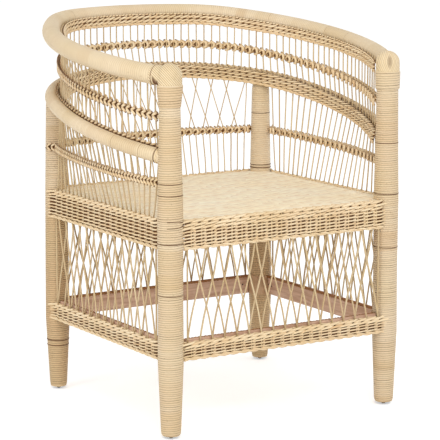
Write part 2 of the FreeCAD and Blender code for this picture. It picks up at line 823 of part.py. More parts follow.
def buildSeatRail(name, start, end, drop):
    """A pole between two posts, under the edge of the seat."""
    height = size("seat_height") - size("seat_thickness") - size("seat_rail_radius") - drop
    low, high = Vector(*start, height), Vector(*end, height)
    rail = prism(name + "_pole", poleSideCount, "sizes.seat_rail_radius", start, height, (high - low).Length)
    rail.Placement = Placement(low, Rotation(Vector(0, 0, 1), high - low))
    return keep(rail, name)


def buildSeatFrame():
    """Poles under the seat edge and slats from the front one to the rear one."""
    room = size("front_seat_radius") + size("clearance")
    inset = size("seat_rail_inset")
    x, low, high = halfWidth - inset, frontY + inset, rearY - inset
    drop = size("slat_thickness")
    buildSeatRail("seat_rail_front", (-halfWidth + room, low), (halfWidth - room, low), drop)
    buildSeatRail("seat_rail_rear", (-halfWidth + room, high), (halfWidth - room, high), drop)
    buildSeatRail("seat_rail_left", (-x, frontY + room), (-x, rearY - room), 0)
    buildSeatRail("seat_rail_right", (x, frontY + room), (x, rearY - room), 0)
    for i in range(slatCount):
        slat = doc.addObject("Part::Box", f"seat_slat_{i + 1}_board")
        slat.setExpression("Length", "sizes.slat_width")
        slat.Width = high - low
        slat.setExpression("Height", "sizes.slat_thickness")
        middle = (i + 1) / (slatCount + 1) * 2 * halfWidth - halfWidth
        base = Vector(middle - size("slat_width") / 2, low, size("seat_height") - size("seat_thickness") - drop)
        slat.Placement = Placement(base, Rotation())
        keep(slat, f"seat_slat_{i + 1}")


def buildCornerStraps():
    """Thin straps that carry the laths round the inside of each post."""
    straps = []
    reach = size("stretcher_radius") + size("clearance") + size("strap_thickness") / 2
    extra = (size("strap_turn") - quarterTurn) / 2
    up = Vector(0, 0, 1)
    for corner, name in enumerate(("front_left", "front_right", "rear_right", "rear_left")):
        middle = Vector(*posts[name], size("stretcher_bottom") + size("lath_height") / 2)
        stations = []
        for i in range(strapStepCount + 1):
            angle = quarterTurn * corner - extra + size("strap_turn") * i / strapStepCount
            stations.append((middle + outAt(angle) * reach, up))
        straps.append(strip(stations, size("strap_thickness"), size("lath_height")))
    fixed("stretcher_straps", Part.makeCompound(straps))


buildPosts()
buildRail("top_rail", "rim", size("rim_radius"), size("cap_sleeve_length") + size("clearance"))
buildRail("arm_rail", "arm", size("arm_rail_radius"), size("arm_radius") + size("clearance"))
for word, side in (("left", -1), ("right", 1)):
    place = posts["front_" + word]
    buildCollar("post_collar_" + word, place)
    buildRimCap("rim_cap_" + word, place, side)
buildUpperPanel()
buildMidPanels()
buildArmBraid()
buildBands()
buildSeat()
buildSeatFrame()
buildCornerStraps()

doc.recompute()
for part in parts:
    state = [word for word in part.State if word in ("Invalid", "Error")]
    if state or part.Shape.isNull() or not part.Shape.isValid():
        raise RuntimeError(f"{part.Label} failed: {part.State}")
os.makedirs("parts", exist_ok=True)
for part in parts:
    part.Shape.exportStep(f"parts/{part.Label}.step")
print(len(parts), "parts written")
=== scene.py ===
import math
import random

import bmesh
import bpy
import numpy as np
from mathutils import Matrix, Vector


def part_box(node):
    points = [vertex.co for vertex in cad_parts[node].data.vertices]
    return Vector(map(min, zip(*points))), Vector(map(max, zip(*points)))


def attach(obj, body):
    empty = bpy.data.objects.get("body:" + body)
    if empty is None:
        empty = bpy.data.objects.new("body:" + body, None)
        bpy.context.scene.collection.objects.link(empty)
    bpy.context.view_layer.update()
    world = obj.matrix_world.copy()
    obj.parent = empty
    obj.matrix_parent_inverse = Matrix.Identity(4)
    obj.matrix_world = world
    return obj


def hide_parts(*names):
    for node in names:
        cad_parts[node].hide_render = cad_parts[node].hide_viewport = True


# A barrel armchair of rattan poles, wound in peel and filled with woven canes.
# Metres, +Z up, +Y to the back, origin under the middle of the chair.
# Left and right are as seen from the front, so the right posts are at +X.

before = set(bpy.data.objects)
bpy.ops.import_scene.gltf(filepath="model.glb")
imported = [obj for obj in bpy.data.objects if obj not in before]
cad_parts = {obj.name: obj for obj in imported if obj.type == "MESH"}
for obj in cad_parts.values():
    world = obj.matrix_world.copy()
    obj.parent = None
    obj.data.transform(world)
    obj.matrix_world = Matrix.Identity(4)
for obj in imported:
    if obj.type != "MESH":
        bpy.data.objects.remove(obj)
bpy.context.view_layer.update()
bpy.ops.object.select_all(action="DESELECT")
print("frame loaded:", len(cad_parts), "nodes")

chair = {
    "postSpanWidth": 0.546,
    "postSpanDepth": 0.505,
    "frontY": -0.32145,
    "seatBandBottom": 0.397,
    "seatBandTop": 0.461,
    "stretcherBottom": 0.164,
    "stretcherTop": 0.203,
    "bandMiddle": 0.01625,
    "lowerRowFront": 0.533,
    "lowerRowRear": 0.558,
}
halfWidth = chair["postSpanWidth"] / 2
frontY = chair["frontY"]
rearY = frontY + chair["postSpanDepth"]
postPlaces = {
    "front_left": (-halfWidth, frontY),
    "front_right": (halfWidth, frontY),
    "rear_left": (-halfWidth, rearY),
    "rear_right": (halfWidth, rearY),
}


# Camera and lights

cameraChoice = {"place": (-2.453, -4.030, 1.192), "target": (0.0035, -0.06895, 0.3991), "lens": 174.3}


def aim(thing, target):
    thing.rotation_euler = (Vector(target) - thing.location).to_track_quat("-Z", "Y").to_euler()


def addCamera():
    bpy.ops.object.camera_add(location=cameraChoice["place"])
    camera = bpy.context.object
    camera.name = "chairCamera"
    aim(camera, cameraChoice["target"])
    camera.data.lens = cameraChoice["lens"]
    bpy.context.scene.camera = camera


lampTarget = (0, 0, 0.4)
lampChoices = {
    "keyLamp": {"place": (-1.5, -4.4, 3.0), "power": 97, "width": 2.4},
    "leftLamp": {"place": (-4.2, -0.8, 2.2), "power": 52, "width": 2.2},
    "rightLamp": {"place": (3.6, -2.0, 2.4), "power": 20, "width": 2.4},
    "topLamp": {"place": (0.0, 0.2, 3.2), "power": 2.2, "width": 2.4},
}


def addLamps():
    for name, choice in lampChoices.items():
        bpy.ops.object.light_add(type="AREA", location=choice["place"])
        lamp = bpy.context.object
        lamp.name = name
        lamp.data.energy = choice["power"]
        lamp.data.size = choice["width"]
        aim(lamp, lampTarget)


addCamera()
addLamps()
print("camera and lamps set")


# Colours and materials


def paint(colour):
    # A screen colour from 0 to 255, as the shader wants it
    return (*(((c / 255 + 0.055) / 1.055) ** 2.4 for c in colour), 1)


def fill(tree, node, values):
    # Puts each value on its socket, or links the output that is given for it
    for key, value in values.items():
        if isinstance(value, bpy.types.NodeSocket):
            tree.links.new(value, node.inputs[key])
        else:
            node.inputs[key].default_value = value


def addNode(tree, kind, values=None, **settings):
    node = tree.nodes.new(kind)
    for key, value in settings.items():
        setattr(node, key, value)
    fill(tree, node, values or {})
    return node


def mathNode(tree, operation, first, second, clamp=False):
    node = addNode(tree, "ShaderNodeMath", {0: first, 1: second}, operation=operation, use_clamp=clamp)
    return node.outputs[0]


def noise(tree, place, scale, detail, distortion=0.0):
    values = {"Vector": place, "Scale": scale, "Detail": detail, "Distortion": distortion}
    return addNode(tree, "ShaderNodeTexNoise", values).outputs[0]


def mapRange(tree, value, first, last, low=0.0, high=1.0):
    return addNode(tree, "ShaderNodeMapRange", {0: value, 1: first, 2: last, 3: low, 4: high}).outputs[0]


def mixColours(tree, share, first, second):
    values = {0: share, 6: first, 7: second}
    return addNode(tree, "ShaderNodeMix", values, data_type="RGBA", clamp_factor=True).outputs[2]


def startGroup(name, inputs, outputs):
    group = bpy.data.node_groups.new(name, "ShaderNodeTree")
    group.interface.new_socket(name=inputs[0], in_out="INPUT", socket_type="NodeSocketVector")
    for label, value in inputs[1:]:
        socket = group.interface.new_socket(name=label, in_out="INPUT", socket_type="NodeSocketFloat")
        socket.default_value = value
    for label in outputs:
        group.interface.new_socket(name=label, in_out="OUTPUT", socket_type="NodeSocketFloat")
    return group, addNode(group, "NodeGroupInput").outputs, addNode(group, "NodeGroupOutput")


fibreChoice = {"fineScale": 3.1, "fineShare": 0.4, "coarseShare": 0.6}


def makeFibreGroup():
    # Long fibres that run with the strand: a shade and a height, both from 0 to 1
    group, entry, end = startGroup(
        "caneFibres", ["Along", ("Stretch", 40.0), ("Fineness", 900.0)], ["Shade", "Height"])
    split = addNode(group, "ShaderNodeSeparateXYZ", {0: entry["Along"]})
    along = mathNode(group, "MULTIPLY", split.outputs[0], entry["Stretch"])
    across = mathNode(group, "MULTIPLY", split.outputs[1], entry["Fineness"])
    joined = addNode(group, "ShaderNodeCombineXYZ", {0: along, 1: across, 2: split.outputs[2]}).outputs[0]
    fine = noise(group, joined, fibreChoice["fineScale"], 2.0)
    fine = mathNode(group, "MULTIPLY", fine, fibreChoice["fineShare"])
    values = {0: noise(group, joined, 1.0, 4.0), 1: fibreChoice["coarseShare"], 2: fine}
    both = addNode(group, "ShaderNodeMath", values, operation="MULTIPLY_ADD").outputs[0]
    fill(group, end, {"Shade": both, "Height": both})
    return group


ageingChoice = {"patch": (0.38, 0.68), "speck": (0.66, 0.78)}


def makeAgeingGroup():
    # Soft patches where light and hands have yellowed or paled the cane
    group, entry, end = startGroup(
        "caneAgeing", ["Place", ("Patch Size", 9.0), ("Speck Size", 160.0)], ["Yellowing", "Specks"])
    patch = noise(group, entry["Place"], entry["Patch Size"], 3.0)
    speck = noise(group, entry["Place"], entry["Speck Size"], 2.0)
    fill(group, end, {
        "Yellowing": mapRange(group, patch, *ageingChoice["patch"]),
        "Specks": mapRange(group, speck, *ageingChoice["speck"]),
    })
    return group


fibreGroup = makeFibreGroup()
ageingGroup = makeAgeingGroup()

finishChoices = {
    "woundPeel": {
        "pale": (229, 211, 182), "warm": (206, 174, 131), "gap": (96, 62, 32), "yellow": (212, 191, 146),
        "rough": 0.5, "bump": 0.25, "stretch": 30.0, "fine": 1.3,
    },
    "railPeel": {
        "pale": (232, 214, 183), "warm": (214, 188, 150), "gap": (158, 122, 80), "yellow": (212, 192, 146),
        "rough": 0.44, "bump": 0.12, "stretch": 30.0, "fine": 1.3,
    },
    "elbowPeel": {
        "pale": (238, 219, 186), "warm": (222, 194, 152), "gap": (104, 68, 36), "yellow": (218, 198, 148),
        "rough": 0.48, "bump": 0.15, "stretch": 30.0, "fine": 1.3,
    },
    "paleCane": {
        "pale": (225, 206, 168), "warm": (178, 143, 98), "gap": (136, 96, 54), "yellow": (204, 182, 132),
        "rough": 0.46, "bump": 0.2, "stretch": 30.0, "fine": 3.0,
    },
    "twistedStrand": {
        "pale": (246, 228, 194), "warm": (216, 178, 130), "gap": (110, 70, 36), "yellow": (220, 194, 142),
        "rough": 0.52, "bump": 0.3, "stretch": 40.0, "fine": 3.0,
    },
    "seatStrand": {
        "pale": (255, 252, 230), "warm": (255, 232, 194), "gap": (188, 130, 76), "yellow": (255, 234, 188),
        "rough": 0.55, "bump": 0.2, "stretch": 40.0, "fine": 2.0,
    },
    # Painted shade: the binding's browns are strands as they look in shade
    "paintedShadeBinding": {
        "pale": (176, 120, 70), "warm": (124, 76, 38), "gap": (60, 36, 18), "yellow": (196, 148, 92),
        "rough": 0.55, "bump": 0.3, "stretch": 40.0, "fine": 3.0,
    },
    "innerShade": {
        "pale": (146, 102, 60), "warm": (104, 66, 34), "gap": (62, 38, 18), "yellow": (128, 88, 48),
        "rough": 0.8, "bump": 0.3, "stretch": 40.0, "fine": 3.0,
    },
}
wearChoice = {
    "yellow": 0.45, "streak": 0.45, "streakRange": (0.3, 0.7), "speck": 0.3,
    "rougher": 0.12, "smoother": 0.08, "gloss": 0.35, "bumpReach": 0.0004,
}


def startMaterial(name):
    material = bpy.data.materials.new(name)
    material.use_nodes = True
    tree = material.node_tree
    return material, tree, tree.nodes["Principled BSDF"]


def bumpFrom(tree, height, strength, distance):
    values = {"Height": height, "Strength": strength, "Distance": distance}
    return addNode(tree, "ShaderNodeBump", values).outputs[0]


def addAgeing(tree, place, sizes=None):
    return addNode(tree, "ShaderNodeGroup", {"Place": place, **(sizes or {})}, node_tree=ageingGroup).outputs


def makeCaneMaterial(name):
    choice = finishChoices[name]
    pale, warm, dark, yellow = (paint(choice[key]) for key in ("pale", "warm", "gap", "yellow"))
    material, tree, shader = startMaterial(name)
    along = addNode(tree, "ShaderNodeUVMap", uv_map="strand").outputs[0]
    tone = addNode(tree, "ShaderNodeAttribute", attribute_name="tone").outputs["Fac"]
    # The gap value darkens towards the gap colour: painted shade in grooves and where strands dive under
    # others, and the own dark colour of a few dark turns and ties; specks take the same colour
    gap = addNode(tree, "ShaderNodeAttribute", attribute_name="gap").outputs["Fac"]
    values = {"Along": along, "Stretch": choice["stretch"], "Fineness": choice["fine"]}
    fibres = addNode(tree, "ShaderNodeGroup", values, node_tree=fibreGroup).outputs
    ageing = addAgeing(tree, addNode(tree, "ShaderNodeTexCoord").outputs["Object"])
    yellowed = mathNode(tree, "MULTIPLY", ageing["Yellowing"], wearChoice["yellow"])
    streaked = mapRange(tree, fibres["Shade"], *wearChoice["streakRange"], wearChoice["streak"], 0.0)
    specked = mathNode(tree, "MULTIPLY", ageing["Specks"], wearChoice["speck"])
    base = mixColours(tree, tone, pale, warm)
    base = mixColours(tree, yellowed, base, yellow)
    base = mixColours(tree, streaked, base, warm)
    base = mixColours(tree, specked, base, dark)
    low, high = choice["rough"] + wearChoice["rougher"], choice["rough"] - wearChoice["smoother"]
    fill(tree, shader, {
        "Base Color": mixColours(tree, gap, base, dark),
        "Roughness": mapRange(tree, fibres["Shade"], 0.0, 1.0, low, high),
        "Normal": bumpFrom(tree, fibres["Height"], choice["bump"], wearChoice["bumpReach"]),
        "Specular IOR Level": wearChoice["gloss"],
    })
    return material


boardChoice = {
    "light": (222, 188, 164), "dark": (186, 146, 120), "patch": (198, 158, 128), "rough": 0.6,
    "grain": (12.0, 12.0, 150.0), "grainRange": (0.35, 0.65), "distortion": 0.6,
    "patchSize": 14.0, "patchShare": 0.35, "bump": 0.35, "bumpReach": 0.0005,
}


def makeBoardMaterial():
    material, tree, shader = startMaterial("brownBoard")
    place = addNode(tree, "ShaderNodeTexCoord").outputs["Object"]
    stretched = addNode(tree, "ShaderNodeMapping", {0: place, 3: boardChoice["grain"]}).outputs[0]
    grain = noise(tree, stretched, 1.0, 6.0, boardChoice["distortion"])
    ageing = addAgeing(tree, place, {"Patch Size": boardChoice["patchSize"]})
    light, dark, patch = (paint(boardChoice[key]) for key in ("light", "dark", "patch"))
    base = mixColours(tree, mapRange(tree, grain, *boardChoice["grainRange"]), light, dark)
    share = mathNode(tree, "MULTIPLY", ageing["Yellowing"], boardChoice["patchShare"])
    fill(tree, shader, {
        "Base Color": mixColours(tree, share, base, patch),
        "Normal": bumpFrom(tree, grain, boardChoice["bump"], boardChoice["bumpReach"]),
        "Roughness": boardChoice["rough"],
    })
    return material


fittingWear = {
    "sizes": {"Patch Size": 60.0, "Speck Size": 500.0}, "share": 0.5, "smoother": 0.08, "rougher": 0.1,
}
fittingChoices = {
    "gliderPlastic": {"colour": (116, 108, 100), "spot": (72, 64, 56), "rough": 0.5, "metallic": 0.0},
    "polePeel": {"colour": (216, 190, 150), "spot": (176, 142, 100), "rough": 0.55, "metallic": 0.0},
    "strapPeel": {"colour": (196, 160, 122), "spot": (142, 104, 70), "rough": 0.55, "metallic": 0.0},
    "nailSteel": {"colour": (74, 62, 54), "spot": (40, 32, 26), "rough": 0.45, "metallic": 0.7},
}


def makeFittingMaterial(name):
    # A small fitting with faint blotches and specks
    choice = fittingChoices[name]
    colour, spot, rough = paint(choice["colour"]), paint(choice["spot"]), choice["rough"]
    material, tree, shader = startMaterial(name)
    ageing = addAgeing(tree, addNode(tree, "ShaderNodeTexCoord").outputs["Object"], fittingWear["sizes"])
    share = mathNode(tree, "MULTIPLY", ageing["Yellowing"], fittingWear["share"])
    base = mixColours(tree, share, colour, spot)
    low, high = rough - fittingWear["smoother"], rough + fittingWear["rougher"]
    fill(tree, shader, {
        "Base Color": mixColours(tree, ageing["Specks"], base, spot),
        "Roughness": mapRange(tree, ageing["Yellowing"], 0.0, 1.0, low, high),
        "Metallic": choice["metallic"],
    })
    return material


materials = {name: makeCaneMaterial(name) for name in finishChoices}
materials["brownBoard"] = makeBoardMaterial()
materials.update({name: makeFittingMaterial(name) for name in fittingChoices})
print("materials made:", len(materials))


# Lines that the pieces follow


def unit(rows):
    rows = np.asarray(rows, float)
    return rows / np.linalg.norm(rows, axis=-1, keepdims=True)


def picked(wanted, marks, rows):
    # The rows between their marks, at each wanted mark
    return np.stack([np.interp(wanted, marks, column) for column in np.asarray(rows, float).T], axis=-1)


def softened(rows):
    rows = rows.copy()
    rows[1:-1] = (rows[:-2] + 2 * rows[1:-1] + rows[2:]) / 4
    return rows


def tilted(out, lean):
    # Upwards, and outwards by the lean
    return Vector((0, 0, math.cos(lean))) + out * math.sin(lean)


def around(angles):
    # Directions round an upright pole
    return np.stack([np.cos(angles), np.sin(angles), np.zeros(len(angles))], axis=-1)


class RowLine:
    # A line through space with an outward and an upward direction at each place
    def __init__(self, places, outs, ups):
        self.places = np.asarray(places, float)
        self.outs = unit(outs)
        self.ups = unit(ups)
        steps = np.linalg.norm(np.diff(self.places, axis=0), axis=1)
        self.marks = np.concatenate([[0], np.cumsum(steps)])
        self.length = float(self.marks[-1])

    def centres(self, distances):
        return picked(distances, self.marks, self.places)

    def directions(self, distances):
        return unit(picked(distances, self.marks, self.outs)), unit(picked(distances, self.marks, self.ups))

    def at(self, distances, heights, depths):
        distances = np.asarray(distances, float)
        outs, ups = self.directions(distances)
        heights = np.broadcast_to(heights, distances.shape)[..., None]
        depths = np.broadcast_to(depths, distances.shape)[..., None]
        return self.centres(distances) + ups * heights + outs * depths


railShapes = {
    "rim": {
        "radius": 0.0202, "inset": 0.0006, "height": 0.753, "tilt": 7.0, "bulge": 0.070, "setback": 0.0065,
        "backReach": 0.1455, "backRadius": 0.600, "cornerRadius": 0.170, "trim": 0.030,
    },
    "arm": {
        "radius": 0.0160, "inset": 0.0011, "height": 0.587, "tilt": 10.9, "bulge": 0.075, "setback": 0.0105,
        "backReach": 0.1075, "backRadius": 0.403, "cornerRadius": 0.262, "trim": 0.012,
    },
}


class BentRail:
    # Side arc, corner arc and back arc, tangent to each other, in a plane that rises to the back
    def __init__(self, kind, inset=0.0):
        shape = railShapes[kind]
        bulge, cornerRadius, backRadius = shape["bulge"], shape["cornerRadius"], shape["backRadius"]
        self.height = shape["height"]
        self.tilt = math.radians(shape["tilt"])
        slope = math.cos(self.tilt)
        widestY = (chair["postSpanDepth"] / 2 + shape["setback"]) / slope
        backY = (chair["postSpanDepth"] + shape["backReach"]) / slope
        sideRadius = (bulge ** 2 + widestY ** 2) / (2 * bulge)
        side = Vector((halfWidth + bulge - sideRadius, widestY))
        back = Vector((0, backY - backRadius))
        between = back - side
        reachSide, reachBack = sideRadius - cornerRadius, backRadius - cornerRadius
        along = (reachSide ** 2 - reachBack ** 2 + between.length ** 2) / (2 * between.length)
        across = math.sqrt(reachSide ** 2 - along ** 2)
        ahead = between.normalized()
        meetings = [side + ahead * along + Vector((ahead.y, -ahead.x)) * turn for turn in (across, -across)]
        corner = max(meetings, key=lambda place: place.x)
        start = math.atan2(-side.y, halfWidth - side.x)
        bend = math.atan2(corner.y - side.y, corner.x - side.x)
        turn = math.atan2(corner.y - back.y, corner.x - back.x)
        self.arcs = []
        self.half = 0.0
        for centre, radius, first, last in (
            (side, sideRadius - inset, start, bend),
            (corner, cornerRadius - inset, bend, turn),
            (back, backRadius - inset, turn, math.pi / 2),
        ):
            self.arcs.append((self.half, centre, radius, first))
            self.half += radius * (last - first)

    def place(self, distance, side):
        start, centre, radius, first = [arc for arc in self.arcs if arc[0] <= max(distance, 0)][-1]
        angle = first + (distance - start) / radius
        outX, outY = math.cos(angle), math.sin(angle)
        x, y = centre.x + radius * outX, centre.y + radius * outY
        rise, slope = math.sin(self.tilt), math.cos(self.tilt)
        place = Vector((side * x, frontY + y * slope, self.height + y * rise))
        return place, Vector((side * outX, outY * slope, outY * rise))

    def bothSides(self, begin, count):
        # From the left front end round the back to the right front end
        distances = np.linspace(begin, self.half, count)
        right = [self.place(d, 1) for d in distances[::-1]][1:]
        return [self.place(d, -1) for d in distances] + right

    def distanceWhile(self, holds, low=0.0):
        # The distance from which the condition on the place no longer holds
        high = self.half
        for _ in range(40):
            middle = (low + high) / 2
            low, high = (middle, high) if holds(self.place(middle, 1)[0]) else (low, middle)
        return low


# Strand meshes


def quads(rows, size, closed):
    # Faces between rows of points, where each row is closed to a ring or open
    last = size if closed else size - 1
    corners = [(i * size, j, (j + 1) % size) for i in range(rows - 1) for j in range(last)]
    return [(i + j, i + size + j, i + size + k, i + k) for i, j, k in corners]


def strandPlaces(alongs, arounds):
    return np.stack([np.repeat(alongs, len(arounds)), np.tile(arounds, len(alongs))], axis=-1)


def markStrands(mesh, alongs, tones, gaps):
    # The strand coordinates, tone and gap that the materials read
    layer = mesh.uv_layers.get("strand") or mesh.uv_layers.new(name="strand")
    corners = np.zeros(len(mesh.loops), dtype=np.int32)
    mesh.loops.foreach_get("vertex_index", corners)
    layer.data.foreach_set("uv", alongs[corners].astype(np.float32).ravel())
    for label, values in (("tone", tones), ("gap", gaps)):
        attribute = mesh.attributes.new(label, "FLOAT", "POINT")
        attribute.data.foreach_set("value", values.astype(np.float32))


class StrandMesh:
    # Gathers tubes and windings, then becomes one piece
    def __init__(self):
        self.points, self.faces, self.alongs, self.tones, self.gaps = [], [], [], [], []
        self.count = 0

    def add(self, points, faces, alongs, tones, gaps):
        self.points.append(points)
        self.faces += [tuple(self.count + i for i in face) for face in faces]
        self.alongs.append(alongs)
        self.tones.append(np.broadcast_to(tones, len(points)))
        self.gaps.append(np.broadcast_to(gaps, len(points)))
        self.count += len(points)

    def tube(self, places, outs, radius, sides=6, thick=1.0, tone=0.3, gap=0.0):
        # A strand along the given places; radius may change on the way
        places = np.asarray(places, float)
        count = len(places)
        ahead = unit(np.gradient(places, axis=0))
        sideways = unit(np.cross(ahead, np.broadcast_to(np.asarray(outs, float), places.shape)))
        upright = np.cross(sideways, ahead)
        turns = 2 * np.pi * np.arange(sides) / sides
        cosines, sines = np.cos(turns)[None, :, None], (np.sin(turns) * thick)[None, :, None]
        ring = sideways[:, None] * cosines + upright[:, None] * sines
        points = places[:, None] + ring * np.broadcast_to(radius, count)[:, None, None]
        ends = [tuple(range(sides)), tuple((count - 1) * sides + j for j in reversed(range(sides)))]
        steps = np.concatenate([[0], np.cumsum(np.linalg.norm(np.diff(places, axis=0), axis=1))])
        # Each strand starts at its own place in the fibres
        alongs = strandPlaces(steps + (tone * 7.3 + self.count * 0.013), np.arange(sides) / sides)
        self.add(points.reshape(-1, 3), quads(count, sides, True) + ends, alongs, tone, gap)

    def ring(self, centre, radius, strand, tone, gap, axis=(0, 0, 1)):
        # One turn of strand laid round a pole
        axis = Vector(axis).normalized()
        sideways = axis.orthogonal().normalized()
        upright = axis.cross(sideways)
        turns = 2 * np.pi * np.arange(37) / 36
        outs = np.cos(turns)[:, None] * np.array(sideways) + np.sin(turns)[:, None] * np.array(upright)
        self.tube(np.array(centre) + outs * radius, outs, strand, 6, 0.8, tone, gap)

    def winding(self, line, marks, radii, choice, source):
        # Flat peel wound round a pole in a helix, each turn a shallow ridge
        pitch, steps, gapShade = choice["turn"], choice["steps"], choice["gapShade"]
        shares = np.array(choice["shares"])
        edge = ((shares == 0.0) | (shares == 1.0))[None, :]
        count = int(math.ceil((line.length / pitch + 1) * steps)) + 1
        turnCount = count // steps + 3
        numbers = np.arange(turnCount)
        wobble = np.array([source.uniform(-0.5, 0.5) * choice["uneven"] * pitch for _ in range(turnCount)])
        deep = np.array([source.random() < choice["openShare"] for _ in range(turnCount)], float)
        deep[:2] = deep[-4:] = 0
        tones = []
        while len(tones) < turnCount:
            tones += [source.betavariate(*peelTones["beta"])] * source.randint(*peelTones["alike"])
        stray = peelTones["stray"]
        tones = np.array([tone + source.uniform(-stray, stray) for tone in tones[:turnCount]])
        turns = np.arange(count)[:, None] / steps
        lift = np.interp(turns + shares[None, :], numbers, wobble)
        distances = np.clip(pitch * (turns + shares[None, :] - 1) + lift, 0, line.length)
        # The two edges of a gap share its depth, so they meet when they are welded
        opened = np.interp(turns + np.where(shares == 1.0, 1.0, 0.0)[None, :], numbers, deep)
        opened = np.where(edge, np.round(opened + 0.000001), 0.0)
        ridge = choice["ridge"] * (1 - np.abs(2 * shares - 1) ** 4)
        radius = np.interp(distances, marks, radii) + ridge[None, :] - opened * choice["ridge"]
        angles = 2 * np.pi * np.arange(count)[:, None, None] / steps
        outs, ups = line.directions(distances)
        points = line.centres(distances) + radius[..., None] * (np.cos(angles) * outs + np.sin(angles) * ups)
        alongs = strandPlaces(turns[:, 0] * 2 * np.pi * 0.02, shares)
        toneRows = np.interp(np.repeat(turns[:, 0], len(shares)), numbers, tones)
        # Painted shade in the groove between turns, full in the open turns
        gapRows = np.where(edge, gapShade + opened * (1 - gapShade), 0.0).reshape(-1)
        faces = quads(count, len(shares), False)
        self.add(points.reshape(-1, 3), faces, alongs, np.clip(toneRows, 0, 1), gapRows)
        # A disc closes each end
        angles = 2 * np.pi * np.arange(steps)[:, None] / steps
        for distance, radius, order in ((0, radii[0], -1), (line.length, radii[-1], 1)):
            outs, ups = line.directions([distance])
            disc = line.centres([distance]) + radius * (np.cos(angles) * outs + np.sin(angles) * ups)
            self.add(disc, [tuple(range(steps))[::order]], disc[:, :2] * 4, *peelTones["ends"])

    def become(self, name, material, slot, replaced=(), weld=0.0):
        mesh = bpy.data.meshes.new(name)
        mesh.from_pydata(np.concatenate(self.points).tolist(), [], self.faces)
        mesh.update()
        markStrands(mesh, *(np.concatenate(rows) for rows in (self.alongs, self.tones, self.gaps)))
        if weld:
            shape = bmesh.new()
            shape.from_mesh(mesh)
            bmesh.ops.remove_doubles(shape, verts=shape.verts, dist=weld)
            bmesh.ops.dissolve_degenerate(shape, edges=shape.edges, dist=weld / 2)
            shape.to_mesh(mesh)
            shape.free()
        mesh.polygons.foreach_set("use_smooth", [True] * len(mesh.polygons))
        piece = bpy.data.objects.new(name, mesh)
        bpy.context.scene.collection.objects.link(piece)
        dress(piece, material, replaced)


def dress(piece, material, replaced=()):
    piece.data.materials.clear()
    piece.data.materials.append(materials[material])
    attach(piece, "root")
    if replaced:
        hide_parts(*replaced)


def drawTone(source, middle, spread):
    return min(max(source.gauss(middle, spread), 0), 1)


def levelAt(depth, distances):
    return depth(distances) if callable(depth) else depth


# What a row's stitches have where their own choice says nothing else
plainStitch = {
    "order": 0.0, "taper": 0.3, "thick": 0.8, "tone": 0.3, "toneSpread": 0.16, "stray": 0.04, "rock": 0.12,
    "sizes": (0.92, 1.06), "swing": 1.0, "stations": 7, "ends": 0.0,
}


def stitches(mesh, line, begin, end, choice, source, height, depth, flip=1):
    # Short strands laid side by side along a line, each from one edge of its row to the other
    stitch = {**plainStitch, **choice}
    count = max(1, round((end - begin) / stitch["pitch"]))
    pitch = (end - begin) / count
    shares = np.linspace(-1, 1, stitch["stations"])
    curve = np.sign(shares) * np.abs(shares) ** stitch["swing"]
    # The ends are in shade, where they dive under their neighbours
    shade = np.repeat(stitch["ends"] * np.abs(shares) ** 3, 6)
    for i in range(count):
        middle = begin + (i + 0.5) * pitch + source.uniform(-1, 1) * stitch["stray"] * pitch
        distances = np.clip(middle + shares * stitch["length"] / 2, 0, line.length)
        rock = source.uniform(-1, 1) * stitch["radius"] * stitch["rock"]
        heights = height + flip * curve * stitch["rise"] / 2 + rock
        depths = levelAt(depth, distances) + stitch["bulge"] * (1 - shares ** 2) + stitch["order"] * shares
        radius = stitch["radius"] * (1 - stitch["taper"] * shares ** 4) * source.uniform(*stitch["sizes"])
        outs, _ = line.directions(distances)
        tone = drawTone(source, stitch["tone"], stitch["toneSpread"])
        mesh.tube(line.at(distances, heights, depths), outs, radius, 6, stitch["thick"], tone, shade)


def rope(mesh, line, begin, end, choice, source, height, depth):
    # Strands twisted round each other
    count = max(8, int((end - begin) / choice["lay"] * 10))
    distances = np.linspace(begin, end, count)
    outs, _ = line.directions(distances)
    for strand in range(choice["strands"]):
        turn = 2 * np.pi * (distances / choice["lay"] + strand / choice["strands"])
        heights = height + choice["spread"] * np.cos(turn)
        depths = levelAt(depth, distances) + choice["spread"] * choice["flat"] * np.sin(turn)
        tone = drawTone(source, 0.3, 0.14)
        mesh.tube(line.at(distances, heights, depths), outs, choice["radius"], 6, 0.9, tone)


def backing(mesh, line, begin, end, low, high, depth, thick=0.0012, spacing=0.02):
    # A thin dark layer behind open stitches, where the weave's inside is in shade
    count = max(3, int((end - begin) / spacing))
    distances = np.linspace(begin, end, count)
    near = levelAt(depth, distances)
    far = near - thick
    rows = [line.at(distances, h, d) for h, d in ((low, near), (high, near), (high, far), (low, far))]
    faces = [(a, d, c, b) for a, b, c, d in quads(count, 4, True)]
    faces += [(3, 2, 1, 0), tuple((count - 1) * 4 + j for j in range(4))]
    outs, ups = line.directions(distances)
    ahead = np.diff(line.centres(distances[:2]), axis=0)[0]
    if np.cross(ahead, outs[0]) @ ups[0] < 0:
        faces = [face[::-1] for face in faces]
    alongs = strandPlaces(distances, (0, 0.3, 0.6, 0.9))
    mesh.add(np.stack(rows, axis=1).reshape(-1, 3), faces, alongs, 0.5, 0.2)


# Posts

weldReach = 0.00004
fullTurn = (0.0, 0.14, 0.5, 0.86, 1.0)
# Turns of one strand have one tone and stray from it; the ends have a tone and gap of their own
peelTones = {"beta": (2, 3), "alike": (3, 14), "stray": 0.12, "ends": (0.6, 0.3)}
peelTurns = {
    "post": {
        "turn": 0.0047, "steps": 30, "ridge": 0.0010, "uneven": 0.32, "openShare": 0.15, "gapShade": 0.78,
        "shares": fullTurn,
    },
    "collar": {
        "turn": 0.0052, "steps": 32, "ridge": 0.0009, "uneven": 0.25, "openShare": 0.24, "gapShade": 0.75,
        "shares": fullTurn,
    },
    "rail": {
        "turn": 0.0052, "steps": 24, "ridge": 0.00022, "uneven": 0.12, "openShare": 0.02, "gapShade": 0.35,
        "shares": (0.0, 0.2, 0.8, 1.0),
    },
}

